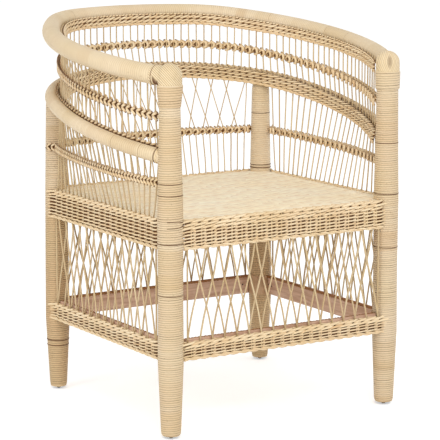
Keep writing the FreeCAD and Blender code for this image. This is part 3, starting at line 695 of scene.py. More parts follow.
postChoice = {
    "inset": 0.0010,
    # Height and radius, from the foot to the seat and from there to the top
    "feet": {
        "front": [
            (0.006, 0.0184), (0.009, 0.0205), (0.016, 0.0215),
            (0.164, 0.0274), (0.300, 0.0264), (0.459, 0.0274),
        ],
        "rear": [
            (0.006, 0.0166), (0.009, 0.0187), (0.016, 0.0197),
            (0.164, 0.0274), (0.300, 0.0264), (0.459, 0.0248),
        ],
    },
    "heads": {
        "front_left": [(0.587, 0.0246), (0.701, 0.0218), (0.735, 0.0218)],
        "front_right": [(0.587, 0.0250), (0.701, 0.0238), (0.735, 0.0238)],
        "rear_left": [(0.650, 0.0209), (0.679, 0.0175)],
        "rear_right": [(0.650, 0.0209), (0.679, 0.0175)],
    },
    # Dark turns: height and half thickness
    "rings": {
        "front_left": [(0.512, 0.0010), (0.5365, 0.0009), (0.412, 0.0011), (0.304, 0.0009)],
        "front_right": [(0.583, 0.0009), (0.472, 0.0010), (0.354, 0.0009)],
        "rear_left": [(0.1150, 0.0014), (0.1030, 0.0014), (0.552, 0.0010)],
        "rear_right": [(0.4680, 0.0013), (0.4745, 0.0011), (0.598, 0.0008)],
    },
    "ringSunk": 0.0002,
    # Painted shade below the seat, as added tone and gap, and painted light above it, as how much lighter the
    # post is there
    "seatShade": {"rear_left": (0.80, 0.10, 0.0), "rear_right": (0.95, 0.08, 0.95)},
    "seatShadeOver": 0.01, "seatShadeBlend": 0.02, "seatShadeGap": 0.4,
}


def windUpright(place, outline, kind, word, inset=0.0):
    # A winding round an upright pole, by an outline of heights and radii
    heights, radii = np.array(outline).T
    ends = [(*place, heights[0]), (*place, heights[-1])]
    line = RowLine(ends, [(1, 0, 0)] * 2, [(0, 1, 0)] * 2)
    mesh = StrandMesh()
    source = random.Random(f"{kind} {word}")
    mesh.winding(line, heights - heights[0], radii - inset, peelTurns[kind], source)
    return mesh


# Paints the seat's shade on the post's turns below the seat, and painted light above it: a lighter tone and
# fainter dark lines between turns
def paintSeatShade(mesh, name):
    seatShade, dark, paintedLightAbove = postChoice["seatShade"][name]
    edge = chair["seatBandBottom"] + postChoice["seatShadeOver"]
    under = np.clip((edge - mesh.points[0][:, 2]) / postChoice["seatShadeBlend"], 0, 1)
    fade = 1 - paintedLightAbove * (1 - under)
    mesh.tones[0] = np.clip(mesh.tones[0] * fade + under * seatShade, 0, 1)
    # Where the post is painted lighter, its dark lines between turns fade too
    least = postChoice["seatShadeGap"]
    mesh.gaps[0] = np.clip(mesh.gaps[0] * (least + (1 - least) * fade) + under * dark, 0, 1)


def buildPost(name):
    end, word = name.split("_")
    outline = postChoice["feet"][end] + postChoice["heads"][name]
    mesh = windUpright(postPlaces[name], outline, "post", name, postChoice["inset"])
    if name in postChoice["seatShade"]:
        paintSeatShade(mesh, name)
    mesh.become("woundPost_" + name, "woundPeel", "wound_peel", ["post_wrap_" + name], weldReach)
    rings = StrandMesh()
    for level, thick in postChoice["rings"][name]:
        radius = float(np.interp(level, *zip(*outline))) - postChoice["ringSunk"]
        rings.ring((*postPlaces[name], level), radius, thick, 0.9, 0.9)
    rings.become("postRings_" + name, "woundPeel", "wound_peel")
    if end == "front":
        buildCollar(word, postPlaces[name])


collarChoice = {
    # Height and radius, from the lower edge up
    "left": [(0.693, 0.0222), (0.704, 0.0234), (0.722, 0.0254), (0.735, 0.0266)],
    "right": [(0.6995, 0.0248), (0.7015, 0.0258), (0.722, 0.0264), (0.735, 0.0266)],
    "cordRadius": 0.0260, "cordHeight": 0.7365, "cord": 0.0019,
}


def buildCollar(word, place):
    mesh = windUpright(place, collarChoice[word], "collar", word)
    outs = around(np.linspace(0, 2 * np.pi, 41))
    cord = outs * collarChoice["cordRadius"] + (*place, collarChoice["cordHeight"])
    mesh.tube(cord, outs, collarChoice["cord"], 8, 0.7, 0.0)
    mesh.become("collarLashing_" + word, "woundPeel", "wound_peel", ["post_collar_" + word], weldReach)


for name in postPlaces:
    buildPost(name)
print("posts and collars wound")


# Rails


def buildRail(kind, name, node):
    rail = BentRail(kind)
    places, outs = zip(*rail.bothSides(railShapes[kind]["trim"], 180))
    up = (0, -math.sin(rail.tilt), math.cos(rail.tilt))
    line = RowLine(places, outs, [up] * len(places))
    radius = railShapes[kind]["radius"] - railShapes[kind]["inset"]
    mesh = StrandMesh()
    mesh.winding(line, [0, line.length], [radius, radius], peelTurns["rail"], random.Random("rail " + kind))
    mesh.become(name, "railPeel", "wound_peel", [node], weldReach)


# How far from the post, how deep in the rail, half thickness, tone and gap
railEnds = {"seam": (0.031, 0.0004, 0.0009, 0.9, 1.0), "strip": (0.0275, 0.0006, 0.0016, 0.1, 0.0)}


def buildRailEnds():
    # A dark seam where the arm rail is lashed to each front post, and a pale strip beside it
    rail = BentRail("arm")
    mesh = StrandMesh()
    for side in (-1, 1):
        for distance, sunk, thick, tone, gap in railEnds.values():
            place, _ = rail.place(distance, side)
            ahead, _ = rail.place(distance + 0.004, side)
            mesh.ring(place, railShapes["arm"]["radius"] - sunk, thick, tone, gap, ahead - place)
    mesh.become("railEnds", "elbowPeel", "wound_peel")


buildRail("rim", "woundRim", "top_rail")
buildRail("arm", "woundArmRail", "arm_rail")
buildRailEnds()
print("rails wound")


# Elbows that lash the rim to the front posts

capChoice = {
    "radius": 0.0258, "low": 0.7345, "domeCentre": 0.7562, "sleeveRadius": 0.0214, "sleeveLength": 0.040,
    "voxel": 0.0010, "soften": 0.6, "softenings": 14, "strip": 0.0037, "ridge": 0.0006,
    "stripTone": 0.8, "seam": {"left": 0.75, "right": 0.45}, "seamFrom": 0.55, "seamReach": 0.45,
    # Edge turns: height, radius, half thickness, tone and gap
    "edges": ((0.7362, 0.0255, 0.0019, 0.05, 0.0), (0.7322, 0.0254, 0.0014, 0.8, 0.95)),
    # The left elbow: which way its strips lie, and its dark corner as first and last run, high and low drop
    "across": (0.70, -0.28, 0.66), "front": (-0.5, -0.85, 0.16), "middle": 0.75,
    "corner": (0.008, 0.034, -0.004, 0.0175), "cornerBlend": (0.0016, 0.0012), "cornerDeep": 0.0024,
    "peelTurn": 0.0052, "peelPale": 0.55, "peelReach": 0.012,
    "cornerSeam": {"width": 0.0009, "dark": 0.8, "deep": 0.0006},
    # The right elbow: which way its knot faces, its height, half width and half height
    "knot": (-0.42, -0.86, 0.22), "knotHeight": 0.7545, "knotWidth": 0.0060, "knotRise": 0.0145,
    "ringShape": 0.42, "ringRound": 0.00001, "ringsEnd": -0.004, "behind": 60,
    "twist": 0.0026, "knotDeep": (0.0006, 0.0012), "knotDark": (0.18, 0.66),
}


def buildCapCore(place, side):
    x, y = place
    high = capChoice["domeCentre"]
    bpy.ops.mesh.primitive_uv_sphere_add(
        segments=48, ring_count=24, radius=capChoice["radius"], location=(x, y, high))
    dome = bpy.context.object
    height = high - capChoice["low"]
    bpy.ops.mesh.primitive_cylinder_add(
        vertices=48, radius=capChoice["radius"], depth=height, location=(x, y, high - height / 2))
    drum = bpy.context.object
    start = Vector((x, y, railShapes["rim"]["height"]))
    end, _ = BentRail("rim").place(capChoice["sleeveLength"], side)
    run = end - start
    bpy.ops.mesh.primitive_cylinder_add(
        vertices=48, radius=capChoice["sleeveRadius"], depth=run.length, location=(start + end) / 2)
    sleeve = bpy.context.object
    sleeve.rotation_euler = run.to_track_quat("Z", "Y").to_euler()
    bpy.ops.object.select_all(action="DESELECT")
    for part in (drum, sleeve, dome):
        part.select_set(True)
    bpy.context.view_layer.objects.active = dome
    bpy.ops.object.join()
    bpy.ops.object.transform_apply(location=True, rotation=True, scale=True)
    remesh = dome.modifiers.new("remesh", "REMESH")
    remesh.mode = "VOXEL"
    remesh.voxel_size = capChoice["voxel"]
    bpy.ops.object.modifier_apply(modifier=remesh.name)
    soften = dome.modifiers.new("soften", "SMOOTH")
    soften.factor = capChoice["soften"]
    soften.iterations = capChoice["softenings"]
    bpy.ops.object.modifier_apply(modifier=soften.name)
    return dome, np.array(run.normalized())


def readPoints(mesh):
    points = np.zeros(len(mesh.vertices) * 3)
    mesh.vertices.foreach_get("co", points)
    return points.reshape(-1, 3)


def leftStrips(points, place):
    # Strips lie side by side and run down over the elbow
    across = unit(capChoice["across"])
    strips = (points - (*place, capChoice["middle"])) @ across / capChoice["strip"]
    return strips, points @ unit(np.cross(across, capChoice["front"]))


def darkCorner(points, place, axis, gap, sunk):
    # Under the left elbow's strips, the ends of the rim's own peel show in a sunk corner darkened with
    # painted shade; the peel ends stay lighter
    reach = points - (*place, railShapes["rim"]["height"])
    run = reach @ axis
    drop = run * axis[2] - reach[:, 2]
    first, last, high, low = capChoice["corner"]
    edge = drop - high - (last - run) * (low - high) / (last - first)
    underBlend, besideBlend = capChoice["cornerBlend"]
    inside = np.clip(edge / underBlend, 0, 1) * np.clip((last - run) / besideBlend, 0, 1)
    ends = np.abs(np.sin(run / capChoice["peelTurn"] * np.pi))
    ends = ends * np.clip(1 - edge / capChoice["peelReach"], 0, 1)
    dark = 1.0 - capChoice["peelPale"] * ends
    choice = capChoice["cornerSeam"]
    seam = np.exp(-((run - last) / choice["width"]) ** 2)
    gap = np.clip(np.clip(gap * (1 - inside) + inside * dark, 0, 1) + seam * choice["dark"], 0, 1)
    return gap, sunk * (1 - inside) + inside * capChoice["cornerDeep"] + seam * choice["deep"]


def rightStrips(points, place):
    # Strips lie in pointed rings round a knot that faces the front
    knot = unit(capChoice["knot"])
    sideways = unit(np.cross(knot, (0, 0, 1)))
    reach = points - (*place, capChoice["knotHeight"])
    offsets, rise = reach @ sideways, reach @ np.cross(sideways, knot)
    rings = np.abs(offsets) + capChoice["ringShape"] * np.sqrt(rise ** 2 + capChoice["ringRound"])
    # Behind the knot the strips run straight on
    straight = offsets / capChoice["strip"] + capChoice["behind"]
    strips = np.where(reach @ knot > capChoice["ringsEnd"], rings / capChoice["strip"], straight)
    eye = (np.abs(offsets) / capChoice["knotWidth"]) ** 2 + (rise / capChoice["knotRise"]) ** 2
    return strips, np.arctan2(offsets, rise) * 0.02, np.clip(eye, 0, 1)


# Painted shade in the right elbow's knot, which sinks and darkens most where its twist runs deep
def twistedKnot(points, axis, eye, gap, sunk):
    crossing = np.sign(points @ np.cross(axis, (0, 0, 1)))
    twist = 0.5 + 0.5 * np.sin(points[:, 2] / capChoice["twist"] * 2 * np.pi + crossing)
    knotted = np.sqrt(1 - eye)
    (flat, deep), (pale, dark) = capChoice["knotDeep"], capChoice["knotDark"]
    gap = np.clip(gap * eye + knotted * (pale + dark * twist), 0, 1)
    return gap, sunk + knotted * (flat + deep * twist)


def buildCap(word, side):
    place = postPlaces["front_" + word]
    cap, axis = buildCapCore(place, side)
    cap.name = cap.data.name = "lashedElbow_" + word
    mesh = cap.data
    points = readPoints(mesh)
    normals = np.array([v.normal[:] for v in mesh.vertices])
    if word == "left":
        strips, alongs = leftStrips(points, place)
    else:
        strips, alongs, eye = rightStrips(points, place)
    share = strips - np.floor(strips)
    source = random.Random("cap " + word)
    shades = np.array([source.betavariate(2, 4) * capChoice["stripTone"] for _ in range(200)])
    tone = shades[np.floor(strips).astype(int) % 200]
    off = np.abs(2 * share - 1)
    # Painted shade in the sunk grooves between strips
    gap = np.clip((off - capChoice["seamFrom"]) / capChoice["seamReach"], 0, 1) * capChoice["seam"][word]
    sunk = off ** 4 * capChoice["ridge"]
    if word == "left":
        gap, sunk = darkCorner(points, place, axis, gap, sunk)
    else:
        gap, sunk = twistedKnot(points, axis, eye, gap, sunk)
    mesh.vertices.foreach_set("co", (points - normals * sunk[:, None]).ravel())
    markStrands(mesh, np.stack([alongs, share], axis=-1), tone, gap)
    bpy.ops.object.shade_smooth()
    cap.select_set(False)
    dress(cap, "elbowPeel", ["rim_cap_" + word])
    rings = StrandMesh()
    for height, radius, thick, edgeTone, edgeGap in capChoice["edges"]:
        rings.ring((*place, height), radius, thick, edgeTone, edgeGap)
    rings.become("elbowEdge_" + word, "elbowPeel", "wound_peel")


buildCap("left", -1)
buildCap("right", 1)
print("elbows lashed")


# Canes between the rim and the arm rail

caneChoice = {
    "radius": {"left": 0.0018, "back": 0.00145, "right": 0.00155}, "lowRadius": 0.00185, "thin": 0.0012,
    "gap": 0.0019, "sides": 8, "bow": 0.0011, "doubleBow": 0.6, "sizes": (0.9, 1.08), "tone": 0.3,
    "toneSpread": 0.2, "bendShare": 0.46,
    "pull": 0.024, "pullStart": 0.35, "pullEnd": 0.65, "uneven": (1, 1, 1.02, 0.98, 1, 1.03, 0.97, 1, 1),
    "upperCount": 42, "rimStart": 0.040, "armStart": 0.0282, "postEnd": 0.0222, "intoRim": 0.004,
}
caneGap = caneChoice["gap"]
rimInner = BentRail("rim", railShapes["rim"]["radius"] + caneGap)
armInner = BentRail("arm", railShapes["arm"]["radius"] + caneGap)


def flat(out):
    return Vector((out[0], out[1], 0)).normalized()


class UpperLine:
    # One cane: plumb from the inside of the rim to its bend, then in to the arm rail
    def __init__(self, rimDistance, armDistance, side):
        self.top, out = rimInner.place(rimDistance, side)
        low, armOut = armInner.place(armDistance, side)
        self.out, armOut = flat(out), flat(armOut)
        inset = railShapes["arm"]["radius"] + caneGap
        bendHeight = low.z + caneChoice["bendShare"] * (self.top.z - low.z)
        self.bend = Vector((self.top.x, self.top.y, bendHeight))
        self.lean = math.atan2(max((self.bend - low).dot(armOut), 0), self.bend.z - low.z)
        sunk = inset * math.sin(armInner.tilt) * max(armOut.y, 0)
        self.low = low - armOut * (inset * (1 / math.cos(self.lean) - 1) + sunk * math.tan(self.lean))


def pulled(share):
    # How far the weaving has drawn a cane's lower end to the left
    ramp = (share - caneChoice["pullStart"]) / (caneChoice["pullEnd"] - caneChoice["pullStart"])
    return caneChoice["pull"] * min(max(ramp, 0), 1)


def makeUpperLines():
    rimStart, armStart, count = caneChoice["rimStart"], caneChoice["armStart"], caneChoice["upperCount"]
    left, right = [], []
    for i in range(count):
        share = (i + 0.5) / count
        rimDistance = rimStart + share * (rimInner.half - rimStart)
        armDistance = armStart + share * (armInner.half - armStart)
        left.append(UpperLine(rimDistance, armDistance - pulled(share / 2), -1))
        right.append(UpperLine(rimDistance, armDistance + pulled(1 - share / 2), 1))
    return left + right[::-1]


upperLines = makeUpperLines()
postEnd = caneChoice["postEnd"]
spannedLines = [UpperLine(postEnd, postEnd, -1), *upperLines, UpperLine(postEnd, postEnd, 1)]


def bentCane(mesh, places, out, source, radius):
    # A round cane through the given places, a little crooked as real ones are
    places = [Vector(p) for p in places]
    sideways = (places[-1] - places[0]).normalized().cross(Vector(out))
    shares = np.linspace(0, 1, len(caneChoice["uneven"]))
    rows = picked(shares, np.linspace(0, 1, len(places)), places)
    if len(places) > 2:
        rows = softened(rows)
    bow = np.sin(np.pi * shares) * source.uniform(-1, 1)
    double = caneChoice["doubleBow"]
    bow = bow + np.sin(2 * np.pi * shares) * source.uniform(-double, double)
    rows = rows + bow[:, None] * np.array(sideways)[None, :] * caneChoice["bow"]
    tone = drawTone(source, caneChoice["tone"], caneChoice["toneSpread"])
    size = radius * source.uniform(*caneChoice["sizes"])
    mesh.tube(rows, out, size * np.array(caneChoice["uneven"]), caneChoice["sides"], 1, tone)


def buildUpperCanes():
    third = len(upperLines) // 3
    groups = {"left": upperLines[:third], "back": upperLines[third:-third], "right": upperLines[-third:]}
    above = Vector((0, 0, caneChoice["intoRim"]))
    for name, group in groups.items():
        mesh = StrandMesh()
        source, radius = random.Random("upper canes " + name), caneChoice["radius"][name]
        for line in group:
            bentCane(mesh, [line.low, line.bend, line.top + above], line.out, source, radius)
        mesh.become("upperCanes_" + name, "paleCane", "cane", ["upper_canes_" + name])


rowChoice = {
    # Each loop's way round its cane: along, up, out and half thickness, in millimetres
    "loop": (
        (-10.5, -1.4, 0.4, 1.4), (-7.4, 0.4, -0.6, 1.9), (-4.4, 4.4, -1.8, 2.3), (-0.8, 7.0, -3.0, 2.5),
        (3.0, 6.0, -4.0, 2.7), (5.0, 2.4, -4.4, 2.9), (5.2, -1.8, -4.4, 2.9), (3.4, -5.6, -3.8, 2.6),
        (-0.4, -7.6, -2.4, 2.2), (-4.0, -6.4, -0.6, 1.5),
    ),
    "stations": 13, "loopPitch": 0.019, "widest": 1.1, "rises": (0.9, 1.08), "stray": 0.0005,
    "thicks": (0.93, 1.05), "loopTone": 0.24, "toneSpread": 0.15, "loopDepth": -0.0012,
    "size": {"upper": 1.12, "lower": 0.95},
    "shade": (-0.0046, 0.0034, -0.0050, 0.0046), "shadeDepth": -0.0015,
    "inset": 0.002, "depth": 0.0004, "backDepth": -0.0006,
    # The plait on the outside: its distance from the canes, half the space between its rows, half its backing
    # of painted shade
    "chunky": {"out": 0.0060, "space": 0.0040, "backing": 0.0054},
    "fine": {"space": 0.0045, "backing": 0.0050},
    "chunkyStitch": {
        "pitch": 0.0140, "length": 0.0165, "rise": 0.0092, "radius": 0.0030, "bulge": 0.0020,
        "order": -0.0018, "thick": 0.85, "tone": 0.2, "ends": 0.9,
    },
    "fineStitch": {
        "pitch": 0.0102, "length": 0.0145, "rise": 0.0090, "radius": 0.0025, "bulge": 0.0018,
        "order": -0.0014, "thick": 0.85, "tone": 0.2, "ends": 0.7,
    },
    "inner": {"heights": (0.0036, -0.0036), "radius": 0.0021, "depth": -0.0034, "tone": 0.8},
}


def loops(line, source, kind, name, node):
    # A chain of loops, one round each cane, on the inside of the panel
    size = rowChoice["size"][kind]
    path = np.array(rowChoice["loop"]) / 1000 * (size, size, 1, size)
    marks = np.arange(len(path))
    path = softened(picked(np.linspace(0, len(path) - 1, rowChoice["stations"]), marks, path))
    mesh = StrandMesh()
    stray = rowChoice["stray"]
    for i, mark in enumerate(line.marks):
        near = [abs(line.marks[k] - mark) for k in (i - 1, i + 1) if 0 <= k < len(line.marks)]
        squeeze = min(min(near) / rowChoice["loopPitch"], rowChoice["widest"])
        distances = np.clip(mark + path[:, 0] * squeeze, 0, line.length)
        heights = path[:, 1] * source.uniform(*rowChoice["rises"]) + source.uniform(-stray, stray)
        outs, _ = line.directions(distances)
        tone = drawTone(source, rowChoice["loopTone"], rowChoice["toneSpread"])
        places = line.at(distances, heights, path[:, 2] + rowChoice["loopDepth"])
        mesh.tube(places, outs, path[:, 3] * source.uniform(*rowChoice["thicks"]), 6, 0.9, tone)
    mesh.become(name, "twistedStrand", "cane", [node])


def loopShade(mesh, line):
    # Painted shade: a dark sheet inside each loop
    left, right, low, high = rowChoice["shade"]
    for mark in line.marks[1:-1]:
        begin, end = max(mark + left, 0), min(mark + right, line.length)
        backing(mesh, line, begin, end, low, high, rowChoice["shadeDepth"], 0.0008)


def plait(mesh, shade, line, kind, source):
    # Two rows of stitches that meet in arrowheads, on the outside of the panel, and a dark sheet of painted
    # shade inside them
    choice, inner, inset = rowChoice[kind], rowChoice["inner"], rowChoice["inset"]
    for way in (1, -1):
        stitch, height = rowChoice[kind + "Stitch"], way * choice["space"]
        stitches(mesh, line, inset, line.length - inset, stitch, source, height, rowChoice["depth"], -way)
    distances = np.linspace(0, line.length, max(8, int(line.length / 0.02)))
    outs, _ = line.directions(distances)
    for height in inner["heights"]:
        mesh.tube(line.at(distances, height, inner["depth"]), outs, inner["radius"], 6, 0.8, inner["tone"])
    backing(shade, line, 0.0, line.length, -choice["backing"], choice["backing"], rowChoice["backDepth"])


def buildUpperRow():
    outs = [line.out for line in spannedLines]
    ups = [tilted(line.out, line.lean / 2) for line in spannedLines]
    line = RowLine([line.bend for line in spannedLines], outs, ups)
    source = random.Random("upper row")
    loops(line, source, "upper", "upperLoops", "upper_row_inner")
    outer, shade = StrandMesh(), StrandMesh()
    shift = rowChoice["chunky"]["out"]
    shifted = RowLine([line.bend + line.out * shift for line in spannedLines], outs, ups)
    loopShade(shade, line)
    plait(outer, shade, shifted, "chunky", source)
    outer.become("upperPlait", "twistedStrand", "cane", ["upper_row_outer"])
    shade.become("upperRowShade", "innerShade", "cane")


buildUpperCanes()
buildUpperRow()
print("upper panel filled")


# Braids inside the rails

braidChoice = {
    "depth": 0.0002, "inset": 0.002, "ropeDepth": -0.0004,
    "rope": {"lay": 0.034, "strands": 2, "spread": 0.0016, "radius": 0.0022, "flat": 0.7},
    "rim": {
        "drop": 0.0103, "room": 0.0025,
        # Where each row of stitches starts, and its height
        "rows": ((0.002, 0.0050), (0.002, -0.0040)), "ropeHeight": -0.0105,
        "edge": {"inset": 0.002, "height": 0.0112, "depth": -0.0008, "flip": 1},
        # Low and high edge and depth of each dark layer of painted shade
        "shades": ((-0.0100, 0.0125, 0.0016),),
        "rowStitch": {
            "pitch": 0.0160, "length": 0.0270, "rise": 0.0074, "radius": 0.0026, "bulge": -0.0016,
            "order": 0.0017, "taper": 0.6, "thick": 0.85, "tone": 0.16, "stations": 9, "ends": 0.5,
        },
        "edgeStitch": {
            "pitch": 0.0090, "length": 0.0078, "rise": 0.0012, "radius": 0.0016, "bulge": -0.0008,
            "taper": 0.4, "tone": 0.2,
        },
    },
    "arm": {
        "room": 0.0084, "lean": 9.0,
        "rows": ((0.002, 0.0105), (0.0076, 0.0025), (0.0132, -0.0055)), "ropeHeight": -0.0128,
        "edge": {"inset": 0.004, "height": 0.0166, "depth": 0.0118, "flip": -1},
        "shades": ((-0.0120, 0.0125, 0.0018), (0.0085, 0.0112, 0.0100)),
        "rowStitch": {
            "pitch": 0.0168, "length": 0.0300, "rise": 0.0068, "radius": 0.0021, "bulge": -0.0018,
            "order": 0.0019, "taper": 0.65, "thick": 1.0, "tone": 0.14, "stations": 9, "ends": 0.5,
        },
        "edgeStitch": {
            "pitch": 0.0126, "length": 0.0170, "rise": 0.0070, "radius": 0.0023, "bulge": 0.0014,
            "order": -0.0010, "taper": 0.4, "thick": 0.9, "tone": 0.2, "ends": 0.9,
        },
    },
}


def rimBraidLine():
    drop, room = Vector((0, 0, braidChoice["rim"]["drop"])), caneGap + braidChoice["rim"]["room"]
    places = [line.top - drop - line.out * room for line in spannedLines]
    return RowLine(places, [line.out for line in spannedLines], [(0, 0, 1)] * len(places))


def armBraidLine():
    places, outs = zip(*armInner.bothSides(postEnd, 60))
    outs = [flat(out) for out in outs]
    places = [place - out * braidChoice["arm"]["room"] for place, out in zip(places, outs)]
    lean = math.radians(braidChoice["arm"]["lean"])
    return RowLine(places, outs, [tilted(out, lean) for out in outs])


def buildRailBraid(kind, line):
    choice, edge, length = braidChoice[kind], braidChoice[kind]["edge"], line.length
    source = random.Random(kind + " braid")
    mesh = StrandMesh()
    for begin, height in choice["rows"]:
        end = length - braidChoice["inset"]
        stitches(mesh, line, begin, end, choice["rowStitch"], source, height, braidChoice["depth"])
    rope(mesh, line, 0.0, length, braidChoice["rope"], source, choice["ropeHeight"], braidChoice["ropeDepth"])
    begin, end = edge["inset"], length - edge["inset"]
    height, depth, flip = (edge[key] for key in ("height", "depth", "flip"))
    stitches(mesh, line, begin, end, choice["edgeStitch"], source, height, depth, flip)
    mesh.become(kind + "Braid", "twistedStrand", "cane", [kind + "_braid"])
    shade = StrandMesh()
    for low, high, depth in choice["shades"]:
        backing(shade, line, 0.0, length, low, high, depth)
    shade.become(kind + "BraidShade", "innerShade", "cane")


buildRailBraid("rim", rimBraidLine())
buildRailBraid("arm", armBraidLine())
print("rail braids made")


# Canes and rows between arm rail and seat

midChoice = {
    "sideCount": 24, "backCount": 28, "sideRoom": 0.031, "backRoom": 0.0284, "underRail": 0.0032,
    # The canes of the back split above the row, where every other one changes its place
    "splitOver": 0.002, "swap": 2, "inward": -0.0035, "joined": 1.15,
    "braidOut": 0.0030, "braidAtPost": 0.028,
    # Where the braid meets the rear posts, in degrees round them
    "postAngles": {"left": 198, "backLeft": 72, "backRight": 108, "right": -18},
}
underRail = Vector((0, 0, midChoice["underRail"]))


def sideLine(share, side):
    room = midChoice["sideRoom"]
    first, last = (
        armInner.distanceWhile(lambda place: place.y - frontY < depth)
        for depth in (room, chair["postSpanDepth"] - room)
    )
    top, out = armInner.place(first + share * (last - first), side)
    y = frontY + room + share * (chair["postSpanDepth"] - 2 * room)
    low = Vector((side * (halfWidth + chair["bandMiddle"]), y, chair["seatBandTop"]))
    return top - underRail, low, flat(out)


def backLine(share):
    room = halfWidth - midChoice["backRoom"]
    start = armInner.distanceWhile(lambda place: place.x > room, armInner.arcs[1][0] / 2)
    side = math.copysign(1, share)
    top, out = armInner.place(armInner.half - abs(share) * (armInner.half - start), side)
    low = Vector((share * room, rearY + chair["bandMiddle"], chair["seatBandTop"]))
    return top - underRail, low, flat(out)


def onLine(line, height):
    top, low, _ = line
    return low + (top - low) * ((height - low.z) / (top.z - low.z))


def rowPlace(line):
    # Where the row crosses the cane: the row rises from the front to the back
    share = min(((line[0].y + line[1].y) / 2 - frontY) / chair["postSpanDepth"], 1)
    return onLine(line, chair["lowerRowFront"] + share * (chair["lowerRowRear"] - chair["lowerRowFront"]))


def rowUp(line):
    top, low, out = line
    return tilted(out, math.atan2((top - low).dot(out), top.z - low.z))


def buildMidCanes():
    count = midChoice["sideCount"]
    sides = {"left": -1, "right": 1}
    groups = {name: [sideLine((i + 0.5) / count, side) for i in range(count)] for name, side in sides.items()}
    for name, lines in groups.items():
        mesh = StrandMesh()
        source = random.Random("mid canes " + name)
        for top, low, out in lines:
            bentCane(mesh, [low, (low + top) / 2, top], out, source, caneChoice["radius"][name])
        mesh.become("midCanes_" + name, "paleCane", "cane", ["mid_canes_" + name])
    count, swap, thin = midChoice["backCount"], midChoice["swap"], caneChoice["thin"]
    backs = [backLine((i + 0.5) / count * 2 - 1) for i in range(count)]
    mesh = StrandMesh()
    source = random.Random("mid canes back")
    for i, line in enumerate(backs):
        target = i + (swap if i % 2 else -swap)
        top, _, out = backs[target if 0 <= target < count else i]
        shift = out * (0 if i % 2 else midChoice["inward"])
        middle = onLine(line, chair["lowerRowRear"] + midChoice["splitOver"])
        bentCane(mesh, [line[1], middle], Vector((0, 1, 0)), source, thin * midChoice["joined"])
        bentCane(mesh, [middle + shift * 0.5, (middle + top) / 2 + shift, top + shift], out, source, thin)
    mesh.become("midCanes_back", "paleCane", "cane", ["mid_canes_back"])
    groups["back"] = backs
    return groups


def braidOver(lines):
    shift = caneGap + midChoice["braidOut"]
    return [(rowPlace(line) + line[2] * shift, line[2], rowUp(line)) for line in lines]


def braidAtPost(name, angle):
    x, y = postPlaces[name]
    out = Vector(around(np.radians([angle]))[0])
    return Vector((x, y, chair["lowerRowRear"])) + out * midChoice["braidAtPost"], out, Vector((0, 0, 1))


def buildLowerRows():
    source = random.Random("lower rows")
    ends = {
        "left": (sideLine(0, -1), sideLine(1, -1)),
        "right": (sideLine(0, 1), sideLine(1, 1)),
        "back": (backLine(-1), backLine(1)),
    }
    rows = {name: [ends[name][0], *lines, ends[name][1]] for name, lines in midLines.items()}
    rows["right"].reverse()
    for name, lines in rows.items():
        line = RowLine([rowPlace(l) for l in lines], [l[2] for l in lines], [rowUp(l) for l in lines])
        loops(line, source, "lower", "lowerLoops_" + name, "lower_row_" + name)
        shade = StrandMesh()
        loopShade(shade, line)
        shade.become("lowerRowShade_" + name, "innerShade", "cane")
    angles = midChoice["postAngles"]
    runs = [
        [*braidOver(rows["left"]), braidAtPost("rear_left", angles["left"])],
        [
            braidAtPost("rear_left", angles["backLeft"]), *braidOver(rows["back"]),
            braidAtPost("rear_right", angles["backRight"]),
        ],
        [braidAtPost("rear_right", angles["right"]), *braidOver(rows["right"])],
    ]
    mesh, shade = StrandMesh(), StrandMesh()
    for run in runs:
        plait(mesh, shade, RowLine(*zip(*run)), "fine", source)
    mesh.become("lowerPlait", "twistedStrand", "cane", ["lower_braid"])
    shade.become("lowerPlaitShade", "innerShade", "cane")


midLines = buildMidCanes()
buildLowerRows()
print("panels under the arm rail filled")


# Woven bands, and the canes between them

# Start, direction, length, pairs of crossing canes, and how far in the posts reach at each end
bandSides = {
    "front": ((-halfWidth, frontY), (1, 0), chair["postSpanWidth"], 16, (0.0268, 0.0268)),
    "right": ((halfWidth, frontY), (0, 1), chair["postSpanDepth"], 14, (0.0268, 0.0262)),
    "rear": ((halfWidth, rearY), (-1, 0), chair["postSpanWidth"], 16, (0.0262, 0.0262)),
    "left": ((-halfWidth, rearY), (0, -1), chair["postSpanDepth"], 14, (0.0262, 0.0268)),
}

twineChoice = {
    "stitch": {
        "pitch": 0.0247, "length": 0.0315, "rise": 0.0048, "bulge": 0.0032, "taper": 0.1, "thick": 0.9,
        "tone": 0.25, "stray": 0.03, "stations": 9,
    },
    "border": {
        "pitch": 0.0247, "length": 0.0340, "rise": 0.0060, "radius": 0.0027, "bulge": 0.0026, "swing": 1.4,
        "thick": 0.85, "tone": 0.18, "stray": 0.03, "stations": 9,
    },
    "rope": {"lay": 0.049, "strands": 2, "spread": 0.0019, "radius": 0.0026, "flat": 0.8},
    "ropeHeight": 0.0076,
    # Plain rows, border rows, height of a border row, half thickness and swing of a strand, radius of a stake
    "rows": {
        "seatFront": (5, 3, 0.0072, 0.0019, 2.0, 0.0019),
        "seatSide": (6, 2, 0.0062, 0.0018, 4.0, 0.0010),
        "stretcher": (3, 2, 0.0062, 0.0016, 2.4, 0.0014),
    },
    # How far each band's outer strands pass over the posts at its two ends
    "over": {
        "seat": {
            "front": (0.0045, 0.0070), "right": (0.0045, 0.0160),
            "rear": (0.012, 0.012), "left": (0.0160, 0.0045),
        },
        "stretcher": {
            "front": (0.0045, 0.0160), "right": (0.0045, 0.0180),
            "rear": (0.012, 0.012), "left": (0.0180, 0.0045),
        },
    },
    "postRadius": {"seat": 0.0262, "stretcher": 0.0240},
    "layer": 0.0012, "borderShift": 0.008, "borderReach": (-0.004, -0.006),
    "shadeInset": 0.003, "shadeSunk": 0.0003, "shadeThick": 0.0018, "stakeInset": 0.002, "stakeDepth": 0.0022,
}


